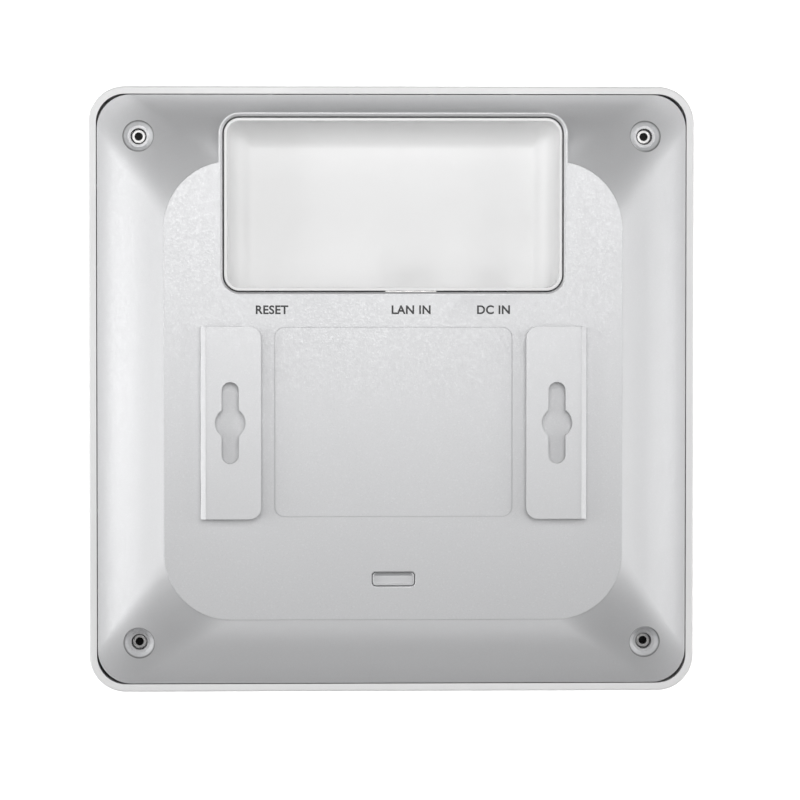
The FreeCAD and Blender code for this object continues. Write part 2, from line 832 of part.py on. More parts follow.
def heat_sink():
    low = sink_low
    top = low + sink_base
    body = [block(sink_x - sink_half, sink_x + sink_half, sink_y - sink_half,
                  sink_y + sink_half, low, top)]
    pitch = (2 * sink_half - sink_fin) / (sink_fin_count - 1)
    for number in range(sink_fin_count):
        left = sink_x - sink_half + number * pitch
        body.append(block(left, left + sink_fin, sink_y - sink_half, sink_y + sink_half,
                          top - overlap, top + sink_fin_rise))
    body = joined(body)
    for side in (-1, 1):
        x, y = sink_pin_place(side)
        body = body.cut(rod(sink_pin_r + fit_gap, low - 1, top + sink_fin_rise + 1, x, y))
        body = body.cut(rod(sink_pin_clear_r, top, top + sink_fin_rise + 1, x, y))
    return body


def heat_sink_pins():
    pins = []
    for side in (-1, 1):
        x, y = sink_pin_place(side)
        seat = sink_low + sink_base
        low = board_low - sink_pin_foot
        head = rod(sink_pin_head_r, seat, seat + sink_pin_head_h, x, y)
        shank = rod(sink_pin_r, low, seat + overlap, x, y)
        foot = Part.makeCone(sink_pin_r, sink_pin_tip_r, sink_pin_barb, Vec(x, y, low),
                             Vec(0, 0, -1))
        pins.append(joined([head, shank, foot]))
    return pins


def chip(x, y, half_x, half_y, thick):
    """Moulded chip on the board, with a small mark in one corner."""
    body = block(x - half_x, x + half_x, y - half_y, y + half_y, board_top, board_top + thick)
    mark = rod(chip_mark_r, board_top + thick - chip_mark_depth, board_top + thick + 1,
               x - half_x + chip_mark_inset, y + half_y - chip_mark_inset)
    return body.cut(mark)


def shield_can(x):
    """Folded sheet can over a radio, open below, with vent holes."""
    top = board_top + can_height
    can = slab(can_half_x, can_half_y, can_corner_r, board_top, top, x, can_y)
    can = can.cut(slab(can_half_x - can_sheet, can_half_y - can_sheet,
                       can_corner_r - can_sheet, board_top - 1, top - can_sheet, x, can_y))
    for column in range(can_vent_columns):
        vent_x = x + (column - (can_vent_columns - 1) / 2) * can_vent_pitch
        for row in range(can_vent_rows):
            vent_y = can_y + (row - (can_vent_rows - 1) / 2) * can_vent_pitch
            can = can.cut(rod(can_vent_r, top - 1, top + 1, vent_x, vent_y))
    return can


def round_capacitors():
    cans = []
    x = capacitor_x
    for y in capacitor_y:
        can = rod(capacitor_r, board_top + capacitor_lift, board_top + capacitor_height, x, y)
        low = board_top + capacitor_neck_low
        high = board_top + capacitor_neck_high
        neck = rod(capacitor_neck_r, low - 1, high + 1, x, y)
        groove = rod(capacitor_r + 1, low, high, x, y).cut(neck)
        base = block(x - capacitor_r, x + capacitor_r, y - capacitor_r, y + capacitor_r,
                     board_top, board_top + capacitor_base)
        cans.append(joined([can.cut(groove), base]))
    return cans


def power_inductors():
    coils = []
    y = inductor_y
    for x in inductor_x:
        base = block(x - inductor_half, x + inductor_half, y - inductor_half, y + inductor_half,
                     board_top, board_top + inductor_base)
        coil = rod(inductor_coil_r, board_top, board_top + inductor_height, x, y)
        coils.append(joined([base, coil]))
    return coils


def small_ceramics():
    """A row and a column of small blocks with their bottoms on the board."""
    half_x, half_y = ceramic_half
    places = []
    for number in range(ceramic_row_count):
        x = (number - (ceramic_row_count - 1) / 2) * ceramic_row_pitch
        places.append((x, ceramic_row_y))
    for number in range(ceramic_column_count):
        offset = (number - (ceramic_column_count - 1) / 2) * ceramic_column_pitch
        places.append((ceramic_column_x, ceramic_column_y + offset))
    return [block(x - half_x, x + half_x, y - half_y, y + half_y,
                  board_top, board_top + ceramic_height) for x, y in places]


def debug_header():
    x, y = header_place
    half_x, half_y = header_half
    body = block(x - half_x, x + half_x, y - half_y, y + half_y,
                 board_top, board_top + header_height)
    pins = []
    for number in range(header_count):
        pin_x = x + (number - (header_count - 1) / 2) * header_pitch
        pins.append(block(pin_x - header_pin_half, pin_x + header_pin_half, y - header_pin_half,
                          y + header_pin_half, board_top + overlap, board_top + header_pin_top))
    return joined([body] + pins)


def lan_transformer():
    x, y = magnetics_place
    half_x, half_y = magnetics_half
    body = block(x - half_x, x + half_x, y - half_y, y + half_y,
                 board_top + magnetics_lift, board_top + magnetics_height)
    feet = []
    for number in range(magnetics_foot_count):
        foot_x = x + (number - (magnetics_foot_count - 1) / 2) * magnetics_foot_pitch
        feet.append(block(foot_x - magnetics_foot_half, foot_x + magnetics_foot_half,
                          y - magnetics_foot_reach, y + magnetics_foot_reach,
                          board_top, board_top + magnetics_foot_thick))
    return joined([body] + feet)


def power_transformer():
    x, y = coil_place
    core_x, core_y = coil_core_half
    base = block(x - coil_base_half, x + coil_base_half, y - coil_base_half, y + coil_base_half,
                 board_top, board_top + coil_base_height)
    core = block(x - core_x, x + core_x, y - core_y, y + core_y,
                 board_top, board_top + coil_core_height)
    winding = rod(coil_winding_r, board_top + coil_winding_low, board_top + coil_winding_high,
                  x, y)
    return joined([base, core, winding])


def status_light():
    return slab(status_half, status_half, status_corner_r, board_low - status_thick, board_low,
                0, light_place_y)


# ---- sockets ----

def lan_cavity():
    """Plug space: the main mouth, the latch's way above it and the narrow notch."""
    spaces = []
    start = port_face - lan_cavity_length
    for width, low, high in ((lan_cavity_width, lan_cavity_low, lan_cavity_high),
                             (lan_latch_width, lan_cavity_high - 0.2, lan_latch_high),
                             (lan_notch_width, lan_latch_high - 0.2, lan_notch_high)):
        spaces.append(block(lan_x - width / 2, lan_x + width / 2, start, port_face + 1,
                            board_top + low, board_top + high))
    return joined(spaces)


def lan_jack_insert():
    half = lan_width / 2 - lan_sheet
    start = port_face - lan_length + lan_sheet
    body = block(lan_x - half, lan_x + half, start, port_face,
                 board_top, board_top + lan_height - lan_sheet)
    body = body.cut(lan_cavity())
    pegs = []
    for side in (-1, 1):
        pegs.append(rod(lan_peg_r, board_low - lan_peg_tip, board_top + overlap,
                        lan_x + side * lan_width / 4, port_face - lan_length / 2))
    body = joined([body] + pegs)
    for number in range(lan_contact_count):
        body = body.cut(lan_contact(number, fit_gap))
    return body


def lan_contact(number, gap):
    """Slanted contact wire, or with a gap the groove round it."""
    x = lan_x + (number - (lan_contact_count - 1) / 2) * lan_contact_pitch
    half = lan_contact_width / 2 + gap
    start = port_face - lan_contact_start
    low = board_top + lan_cavity_low + lan_contact_rise
    thick = lan_contact_thick + gap
    wire = block(x - half, x + half, start, start + lan_contact_reach + gap, low, low + thick)
    wire.rotate(Vec(x, start, low), Vec(1, 0, 0), lan_contact_lean)
    foot = block(x - half, x + half, port_face - lan_cavity_length - lan_contact_foot - gap,
                 start + lan_contact_thick, low, low + thick)
    return joined([wire, foot])


def lan_jack_shield():
    """Folded sheet round the jack, open below, with a framed mouth."""
    half = lan_width / 2
    top = board_top + lan_height
    shield = block(lan_x - half, lan_x + half, port_face - lan_length, port_face, board_top, top)
    inner = half - lan_sheet
    shield = shield.cut(block(lan_x - inner, lan_x + inner, port_face - lan_length + lan_sheet,
                              port_face + 1, board_top - 1, top - lan_sheet))
    for side in (-1, 1):
        x = lan_x + side * half
        for row in (-1, 1):
            middle = port_face - lan_spring_place + row * lan_spring_pitch / 2
            shield = shield.cut(block(x - 1, x + 1, middle - lan_spring_width / 2,
                                      middle + lan_spring_width / 2,
                                      board_top + lan_spring_low, board_top + lan_spring_high))
    return shield


def dc_axis():
    return board_top + dc_axis_rise


def dc_contact_leaf(gap):
    """Leaf that touches the plug's barrel from below, or with a gap its slot."""
    half = dc_leaf_width / 2 + gap
    wall = dc_axis() - dc_bore_r
    return block(dc_x - half, dc_x + half, port_face - dc_leaf_back - gap,
                 port_face - dc_leaf_front + gap, wall - dc_leaf_low, wall + dc_leaf_high + gap)


def dc_jack_housing():
    half = dc_width / 2
    body = block(dc_x - half, dc_x + half, port_face - dc_length, port_face,
                 board_top, board_top + dc_height)
    body = body.cut(rod_along_y(dc_bore_r, port_face - dc_bore_length, port_face + 1,
                                dc_x, dc_axis()))
    body = body.cut(rod_along_y(dc_pin_r, port_face - dc_length - 1, port_face, dc_x, dc_axis()))
    return body.cut(dc_contact_leaf(fit_gap))


def dc_jack_pin():
    front = port_face - dc_pin_set_back
    pin = rod_along_y(dc_pin_r, front - dc_length, front, dc_x, dc_axis())
    end = [edge for edge in pin.Edges if edge.BoundBox.YMin > front - dc_pin_round]
    return pin.makeFillet(dc_pin_round, end)


# ---- reset button ----

def reset_height():
    return board_top + reset_rise


def reset_switch_body():
    back = switch_front - switch_length
    body = block(reset_x - switch_width / 2, reset_x + switch_width / 2, back, switch_front,
                 board_top, board_top + switch_height)
    chamber = rod_along_y(reset_flange_r + switch_flange_gap, back + switch_wall,
                          switch_front - switch_wall, reset_x, reset_height())
    mouth = rod_along_y(reset_stem_r + switch_stem_gap, back + switch_length / 2,
                        switch_front + 1, reset_x, reset_height())
    return body.cut(chamber).cut(mouth)


def reset_switch_contacts():
    """Two fixed contact discs at the back of the switch's chamber."""
    back = switch_front - switch_length + switch_wall
    discs = []
    for side in (-1, 1):
        discs.append(rod_along_y(switch_disc_r, back, back + switch_disc_thick,
                                 reset_x + side * switch_disc_offset, reset_height()))
    return discs


def reset_switch_stem():
    chamber_back = switch_front - switch_length + switch_wall
    flange_start = chamber_back + switch_disc_thick + reset_travel + switch_slack
    flange = rod_along_y(reset_flange_r, flange_start, switch_front - switch_wall - switch_slack,
                         reset_x, reset_height())
    stem = rod_along_y(reset_stem_r, flange_start,
                       port_face - reset_cap_length + reset_cap_socket, reset_x, reset_height())
    return joined([flange, stem])


def reset_button():
    """Cap with a rounded face, pushed on to the stem."""
    start = port_face - reset_cap_length
    cap = rod_along_y(reset_cap_r, start, port_face, reset_x, reset_height())
    face = [edge for edge in cap.Edges if edge.BoundBox.YMin > port_face - reset_cap_round]
    cap = cap.makeFillet(reset_cap_round, face)
    return cap.cut(rod_along_y(reset_stem_r, start - 1, start + reset_cap_socket,
                               reset_x, reset_height()))


# ---- antennas ----

def antenna(side, direction):
    """Stamped strip with two slots that leave its folded track."""
    middle_x = side * antenna_place_x
    middle_y = antenna_centre_y(direction)
    half = antenna_length / 2
    strip = slab(antenna_half_x, half, antenna_corner_r, antenna_low, antenna_top,
                 middle_x, middle_y)
    slot_x = middle_x - side * antenna_slot_offset
    thin = antenna_slot / 2
    strip = strip.cut(block(slot_x - thin, slot_x + thin, middle_y - half + antenna_slot_start,
                            middle_y + half - antenna_slot_end, antenna_low - 1,
                            antenna_top + 1))
    strip = strip.cut(block(slot_x, middle_x - side * (antenna_half_x + 1), middle_y - thin,
                            middle_y + thin, antenna_low - 1, antenna_top + 1))
    for x, y in antenna_pins():
        if x * side > 0:
            strip = strip.cut(rod(antenna_pin_r + fit_gap, antenna_low - 1, antenna_top + 1, x, y))
    return strip


def plug_places():
    return [(side * plug_x, plug_middle_y + direction * plug_offset, side)
            for side in (-1, 1) for direction in (-1, 1)]


def antenna_sockets():
    return [rod(antenna_socket_r, board_low - plug_gap, board_low, x, y)
            for x, y, side in plug_places()]


def lead_plugs():
    """Round press-on plugs under the board, each with a barrel for its lead."""
    plugs = []
    for x, y, side in plug_places():
        high = board_low - plug_gap
        cap = rod(plug_r, high - plug_height, high, x, y)
        barrel = block(x, x + side * plug_barrel, y - plug_barrel_half, y + plug_barrel_half,
                       high - plug_height, high - plug_barrel_drop)
        plugs.append(joined([cap, barrel]))
    return plugs


def lead_path(side, direction):
    """Route of one lead: out of its plug's barrel, down and along, on to its antenna."""
    y = plug_middle_y + direction * plug_offset
    start_x = plug_x + plug_barrel
    height = board_low - lead_axis_drop
    end_height = antenna_top + lead_r + lead_end_gap
    points = [Vec(side * start_x, y, height)]
    for out, along, down in lead_bends:
        points.append(Vec(side * (start_x + out), y + direction * along, height - down))
    for (out, along), level in ((lead_rise, end_height + lead_step), (lead_finish, end_height)):
        points.append(Vec(side * (start_x + out), y + direction * along, level))
    return points


def lead_tube(points, radius):
    """Round tube on straight runs joined by tangent arcs, each as large as its runs allow."""
    edges = []
    start = points[0]
    for before, corner, after in zip(points, points[1:], points[2:]):
        run_in = (corner - before).Length
        run_out = (after - corner).Length
        way_in = (corner - before).normalize()
        way_out = (after - corner).normalize()
        half_turn = way_in.getAngle(way_out) / 2
        reach = 0.45 * min(run_in, run_out)
        arc_r = reach / math.tan(half_turn)
        print(f"  lead bend radius {arc_r:.1f} mm")
        arc_start = corner - way_in * reach
        arc_end = corner + way_out * reach
        inward = (way_out - way_in).normalize()
        middle = corner + inward * (arc_r / math.cos(half_turn) - arc_r)
        edges.append(Part.LineSegment(start, arc_start).toShape())
        edges.append(Part.Arc(arc_start, middle, arc_end).toShape())
        start = arc_end
    edges.append(Part.LineSegment(start, points[-1]).toShape())
    path = Part.Wire(edges)
    circle = Part.Wire(Part.Circle(points[0], points[1] - points[0], radius).toShape())
    tube = path.makePipeShell([circle], True, True, 0)
    length = path.Length
    print(f"  lead length {length:.1f} mm, volume ratio "
          f"{tube.Volume / (math.pi * radius ** 2 * length):.4f}")
    return tube


# ---- write every node ----

save("front_cover", front_cover())
save("light_guide", light_guide())
save("light_gasket", light_gasket())
save("boss_inserts", *boss_inserts())
save("back_shell", back_shell())
save("port_bay_tray", port_bay_tray())
save("left_mount_rail", mount_rail(-1))
save("right_mount_rail", mount_rail(1))
save("latch_pocket", latch_pocket())
save("corner_screws", *corner_screws())
save("tray_screws", *[screw_up(x, y, tray_ear_top - tray_ear, tray_screw_r, tray_ear + screw_reach)
                      for x, y in tray_places()])
save("board_screws", *[screw_up(x, y, board_low, board_screw_r, board_thick + screw_reach)
                       for x, y in board_places()])
save("main_board", main_board())
save("processor", chip(sink_x, sink_y, chip_half, chip_half, chip_thick))
save("thermal_pad", block(sink_x - chip_half, sink_x + chip_half, sink_y - chip_half,
                          sink_y + chip_half, chip_top, sink_low))
save("heat_sink", heat_sink())
save("heat_sink_pins", *heat_sink_pins())
save("memory_chips", *[chip(x, memory_y, *memory_size) for x in memory_x])
save("flash_chip", chip(*flash_place, *flash_size))
save("clock_crystal", chip(*crystal_place, *crystal_size))
save("radio_chips", *[chip(x, can_y, *radio_size) for x in (can_left_x, can_right_x)])
save("left_radio_shield", shield_can(can_left_x))
save("right_radio_shield", shield_can(can_right_x))
save("lan_transformer", lan_transformer())
save("power_transformer", power_transformer())
save("round_capacitors", *round_capacitors())
save("power_inductors", *power_inductors())
save("small_ceramics", *small_ceramics())
save("debug_header", debug_header())
save("status_light", status_light())
save("lan_jack_shield", lan_jack_shield())
save("lan_jack_insert", lan_jack_insert())
save("lan_jack_contacts", *[lan_contact(n, 0) for n in range(lan_contact_count)])
save("dc_jack_housing", dc_jack_housing())
save("dc_jack_pin", dc_jack_pin())
save("dc_jack_leaf", dc_contact_leaf(0))
save("reset_switch_body", reset_switch_body())
save("reset_switch_contacts", *reset_switch_contacts())
save("reset_switch_stem", reset_switch_stem())
save("reset_button", reset_button())
save("antenna_sockets", *antenna_sockets())
save("lead_plugs", *lead_plugs())
for side_name, side in (("left", -1), ("right", 1)):
    for end_name, direction in (("upper", 1), ("lower", -1)):
        save(f"{side_name}_{end_name}_antenna", antenna(side, direction))
        save(f"{side_name}_{end_name}_lead", lead_tube(lead_path(side, direction), lead_r))
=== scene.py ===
import bpy
import bmesh
import json
import math
from mathutils import Matrix, Vector

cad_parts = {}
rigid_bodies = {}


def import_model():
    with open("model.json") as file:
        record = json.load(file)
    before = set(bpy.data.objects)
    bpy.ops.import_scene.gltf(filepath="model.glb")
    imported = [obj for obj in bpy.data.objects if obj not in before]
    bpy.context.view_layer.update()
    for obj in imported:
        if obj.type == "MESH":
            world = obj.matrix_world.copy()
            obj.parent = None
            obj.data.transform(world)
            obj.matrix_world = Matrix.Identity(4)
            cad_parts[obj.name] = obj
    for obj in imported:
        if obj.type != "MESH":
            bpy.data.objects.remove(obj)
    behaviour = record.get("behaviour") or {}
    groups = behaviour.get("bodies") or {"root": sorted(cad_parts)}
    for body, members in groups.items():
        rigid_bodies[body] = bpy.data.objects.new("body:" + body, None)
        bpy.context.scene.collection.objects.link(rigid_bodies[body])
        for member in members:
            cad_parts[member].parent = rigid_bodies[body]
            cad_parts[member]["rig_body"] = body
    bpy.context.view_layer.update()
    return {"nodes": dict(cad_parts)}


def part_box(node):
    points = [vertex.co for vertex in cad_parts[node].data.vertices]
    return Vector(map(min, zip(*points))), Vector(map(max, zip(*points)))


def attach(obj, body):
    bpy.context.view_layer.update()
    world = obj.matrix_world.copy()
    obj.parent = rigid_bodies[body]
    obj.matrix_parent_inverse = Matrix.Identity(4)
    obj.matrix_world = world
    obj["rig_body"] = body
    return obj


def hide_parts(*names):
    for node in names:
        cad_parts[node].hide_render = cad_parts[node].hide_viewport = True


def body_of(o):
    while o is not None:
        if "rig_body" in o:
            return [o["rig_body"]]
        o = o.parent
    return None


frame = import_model()
nodes = frame["nodes"]
mm = 0.001


def connect(tree, target, value):
    if isinstance(value, list):
        for single in value:
            connect(tree, target, single)
    elif isinstance(value, Sig):
        tree.links.new(value.socket, target)
    elif target.type == "RGBA":
        target.default_value = (*value, 1.0)
    else:
        target.default_value = value


class Sig:
    # A socket of a node tree. Arithmetic on it adds the nodes it needs.
    def __init__(self, tree, socket):
        self.tree = tree
        self.socket = socket

    def add(self, kind, inputs=None, out=0, **settings):
        node = self.tree.nodes.new(kind)
        for name, value in settings.items():
            setattr(node, name, value)
        for key, value in (inputs or {}).items():
            connect(self.tree, node.inputs[key], value)
        return Sig(self.tree, node.outputs[out])

    def combine(self, operation, first, second):
        kinds = [value.socket.type for value in (first, second) if isinstance(value, Sig)]
        if "RGBA" in kinds:
            return self.add("ShaderNodeMix", {0: 1.0, 6: triple(first), 7: triple(second)}, 2,
                            data_type="RGBA", blend_type=operation)
        if "VECTOR" in kinds:
            return self.add("ShaderNodeVectorMath", {0: triple(first), 1: triple(second)},
                            operation=operation)
        return self.add("ShaderNodeMath", {0: first, 1: second}, operation=operation)

    def __add__(self, other):
        return self.combine("ADD", self, other)

    def __radd__(self, other):
        return self.combine("ADD", other, self)

    def __sub__(self, other):
        return self.combine("SUBTRACT", self, other)

    def __rsub__(self, other):
        return self.combine("SUBTRACT", other, self)

    def __mul__(self, other):
        return self.combine("MULTIPLY", self, other)

    def __rmul__(self, other):
        return self.combine("MULTIPLY", other, self)

    def __truediv__(self, other):
        return self.combine("DIVIDE", self, other)

    def __rtruediv__(self, other):
        return self.combine("DIVIDE", other, self)

    def curve(self, kind):
        return self.add("ShaderNodeMath", {0: self}, operation=kind)

    def compareAbove(self, value):
        return self.add("ShaderNodeMath", {0: self, 1: value}, operation="GREATER_THAN")

    def ramp(self, low, high, start=0.0, end=1.0):
        return self.add("ShaderNodeMapRange", {"Value": self, "From Min": low, "From Max": high,
                                               "To Min": start, "To Max": end})

    def tint(self, dark, light):
        return self.add("ShaderNodeMix", {0: self, 6: dark, 7: light}, 2, data_type="RGBA")

    def noise(self, size, detail=2.0, rough=0.5):
        return self.add("ShaderNodeTexNoise", {"Vector": self, "Scale": 1.0 / size,
                                               "Detail": detail, "Roughness": rough})

    def cells(self, size, feature="F1", out=0):
        return self.add("ShaderNodeTexVoronoi", {"Vector": self, "Scale": 1.0 / size}, out,
                        feature=feature)

    def stretched(self, scale):
        return self.add("ShaderNodeMapping", {"Vector": self, "Scale": scale})

    def part(self, axis):
        return self.add("ShaderNodeSeparateXYZ", {"Vector": self}, "XYZ".index(axis))

    def bump(self, distance, strength):
        return self.add("ShaderNodeBump", {"Height": self, "Distance": distance,
                                           "Strength": strength})


def triple(value):
    return (value,) * 3 if isinstance(value, (int, float)) else value


# How far a spot is, seen from above, from the nearest of four points at the same reach.
def fromCorner(spot, reach):
    x = spot.part("X").curve("ABSOLUTE") - reach
    y = spot.part("Y").curve("ABSOLUTE") - reach
    return (x * x + y * y).curve("SQRT")


def newMaterial(name):
    material = bpy.data.materials.new(name)
    material.use_nodes = True
    tree = material.node_tree
    surface = tree.nodes["Principled BSDF"]
    coord = tree.nodes.new("ShaderNodeTexCoord")
    return material, surface, Sig(tree, coord.outputs["Object"])


def fill(surface, values):
    for name, value in values.items():
        connect(surface.id_data, surface.inputs[name], value)


# Noise seldom leaves this span, so most ramps stretch it to the full range.
noiseSpan = (0.3, 0.7)
moulding = {"hazeSize": 0.23, "flowShare": 0.6, "grainShare": 0.4, "strength": 0.8}


# Moulded plastic: fine grain in the surface, faint flow marks and handling sheen.
def mouldedPlastic(name, plan):
    material, surface, place = newMaterial(name)
    grain = place.noise(plan["grain"], 3.0, 0.6)
    flow = place.noise(plan["flow"], 2.0, 0.5)
    haze = place.noise(plan["flow"] * moulding["hazeSize"], 4.0, 0.6)
    dark = tuple(channel * (1 - plan["mottle"]) for channel in plan["colour"])
    light = tuple(min(1.0, channel * (1 + plan["mottle"])) for channel in plan["colour"])
    mark = flow.ramp(*noiseSpan) * moulding["flowShare"]
    colour = (mark + grain.ramp(*noiseSpan) * moulding["grainShare"]).tint(dark, light)
    rough = haze.ramp(*noiseSpan, plan["rough"] - plan["sheen"], plan["rough"] + plan["sheen"])
    fill(surface, {"Base Color": colour, "Roughness": rough,
                   "Normal": grain.bump(plan["relief"], moulding["strength"])})
    return material


# The lip, dish and foot entries set painted shade and a painted highlight at the wells and at
# the foot of the raised middle; the rest set the flake texture.
erosionAndPaintedLight = {
    "fineSize": 0.55, "step": 0.3 * mm, "slopeShare": 0.45, "brightFrom": 0.86, "pitTo": 0.16,
    "broadShare": 0.03, "lipWidth": 0.22 * mm, "lipFlat": 0.1 * mm, "lipShade": 0.6,
    "dishEdge": 0.3 * mm, "dishStop": (0.5 * mm, 0.2 * mm), "dishFloorShade": 0.92, "dishRise": 0.08,
    "footLow": 0.12 * mm, "footTop": (0.2 * mm, 0.35 * mm), "footShade": 0.35,
    "roughSpread": 0.05, "glintFrom": 0.6, "strength": 0.9,
}


# Silvery textured plastic: grey body with small bright and dark flakes in it. The wells get
# painted light: a painted dark ring at the lip, painted shade on the flat floor and a painted
# highlight on the cone, and the foot of the raised middle gets a painted shadow line.
def flakePlastic(name, plan):
    material, surface, spot = newMaterial(name)
    pebble = spot.noise(plan["grain"], 4.0, 0.65)
    broad = spot.noise(plan["flow"], 2.0, 0.5)
    flake = spot.cells(plan["flake"], out=1).part("X")
    fine = spot.cells(plan["flake"] * erosionAndPaintedLight["fineSize"], out=1).part("Y")
    # The spark-eroded finish is stronger on the raised middle than on the slopes.
    coarse = spot.part("Z").ramp(plan["textured"], plan["textured"] + erosionAndPaintedLight["step"],
                                 erosionAndPaintedLight["slopeShare"], 1.0)
    bright = flake.ramp(erosionAndPaintedLight["brightFrom"], 1.0) * plan["spark"]
    deep = fine.ramp(0.0, erosionAndPaintedLight["pitTo"], 1.0, 0.0) * plan["pit"]
    fleck = (bright - deep + (pebble - 0.5) * plan["mottle"]) * coarse
    level = fleck + (broad - 0.5) * erosionAndPaintedLight["broadShare"] + 0.5
    dark = tuple(channel * 0.5 for channel in plan["colour"])
    light = tuple(channel * 1.5 for channel in plan["colour"])
    away = fromCorner(spot, plan["wells"])
    # Painted shade: a dark ring at each well's lip.
    edge, width = plan["lip"], erosionAndPaintedLight["lipWidth"]
    lip = away.ramp(edge - width, edge) * away.ramp(edge + erosionAndPaintedLight["lipFlat"], edge + width,
                                                    1.0, 0.0)
    # Painted light: each well's cone is painted brighter and its flat floor painted darker, for
    # the light and shade that fall in it.
    early, late = erosionAndPaintedLight["dishStop"]
    base = erosionAndPaintedLight["dishFloorShade"]
    dish = (away.ramp(plan["dish"], plan["dish"] + erosionAndPaintedLight["dishEdge"])
            * away.ramp(edge - early, edge - late, 1.0, 0.0) * (plan["dishHighlight"] - base) + base)
    dish = dish + away.ramp(edge - late, edge, 0.0, erosionAndPaintedLight["dishRise"])
    # Painted shade: a dark line at the foot of the raised middle, and on the rails at their foot
    # on the plateau.
    low, high = erosionAndPaintedLight["footTop"]
    foot = spot.part("Z").ramp(plan["foot"] - erosionAndPaintedLight["footLow"], plan["foot"]) * spot.part(
        "Z").ramp(plan["foot"] + low, plan["foot"] + high, 1.0, 0.0)
    # The painted shade of lip and foot and the painted light of the dish are multiplied into the
    # flake colour.
    shade = (1 - lip * erosionAndPaintedLight["lipShade"]) * (1 - foot * erosionAndPaintedLight["footShade"])
    colour = level.tint(dark, light) * dish * shade
    spread = erosionAndPaintedLight["roughSpread"]
    rough = flake.ramp(0.0, 1.0, plan["rough"] + spread, plan["rough"] - spread)
    shine = flake.ramp(erosionAndPaintedLight["glintFrom"], 1.0, plan["metal"], plan["metal"] + plan["glint"])
    fill(surface, {"Base Color": colour, "Roughness": rough, "Metallic": shine,
                   "Normal": (pebble * coarse).bump(plan["relief"], erosionAndPaintedLight["strength"])})
    return material


working = {"share": 0.5, "roughSpan": (0.25, 0.75), "smoother": 0.08, "rougher": 0.12,
           "recessEdge": 0.1 * mm, "recessShade": 0.02, "strength": 0.7}


# Rolled or turned metal: stretched scratches along one axis, with stains in between. A screw
# near a well's axis gets painted shade: a near-black round patch over its drive recess.
def workedMetal(name, plan):
    material, surface, place = newMaterial(name)
    lines = place.stretched(plan["stretch"]).noise(plan["grain"], 3.0, 0.6)
    stain = place.noise(plan["flow"], 3.0, 0.6)
    wear = lines.ramp(*noiseSpan) * working["share"] + stain.ramp(*noiseSpan) * working["share"]
    colour = wear.tint(plan["dark"], plan["colour"])
    rough = lines.ramp(*working["roughSpan"], plan["rough"] - working["smoother"],
                       plan["rough"] + working["rougher"])
    # Painted shade: the drive recess of each corner screw is painted near black.
    if "recess" in plan:
        colour = colour * fromCorner(place, plan["wells"]).ramp(
            plan["recess"] - working["recessEdge"], plan["recess"], working["recessShade"], 1.0)
    fill(surface, {"Base Color": colour, "Metallic": 1.0, "Roughness": rough,
                   "Normal": lines.bump(plan["relief"], working["strength"])})
    return material


# Circuit board: solder mask over tracks, with plated dots and a woven body on its edges.
def boardMask(name, plan):
    material, surface, place = newMaterial(name)
    long = plan["long"]
    runs = place.stretched((1.0, long, 1.0)).cells(plan["track"], "DISTANCE_TO_EDGE")
    cross = place.stretched((long, 1.0, 1.0)).cells(plan["track"] * plan["wider"],
                                                    "DISTANCE_TO_EDGE")
    track = runs.ramp(*plan["trackEdge"]) * cross.ramp(*plan["trackEdge"])
    dots = place.cells(plan["via"]).ramp(*plan["viaEdge"], 1.0, 0.0)
    weave = place.noise(plan["weave"], 2.0, 0.5)
    mask = track.tint(plan["under"], plan["colour"])
    blend = dots.tint(mask, plan["plated"])
    height = track * 0.6 + weave * 0.2 + dots * 0.5
    fill(surface, {"Base Color": blend, "Roughness": dots.ramp(0.0, 1.0, 0.38, 0.28),
                   "Metallic": dots * 0.9, "Normal": height.bump(plan["relief"], 0.6)})
    return material


# Clear plastic with a faint inner haze.
def clearBody(name, plan):
    material, surface, place = newMaterial(name)
    haze = place.noise(plan["flow"], 3.0, 0.6)
    fill(surface, {"Base Color": haze.tint(plan["dark"], plan["colour"]),
                   "Roughness": haze.ramp(*noiseSpan, plan["rough"] - 0.04,
                                          plan["rough"] + 0.05),
                   "Transmission Weight": 0.55, "IOR": 1.49,
                   "Normal": haze.bump(plan["relief"], 0.5)})
    return material


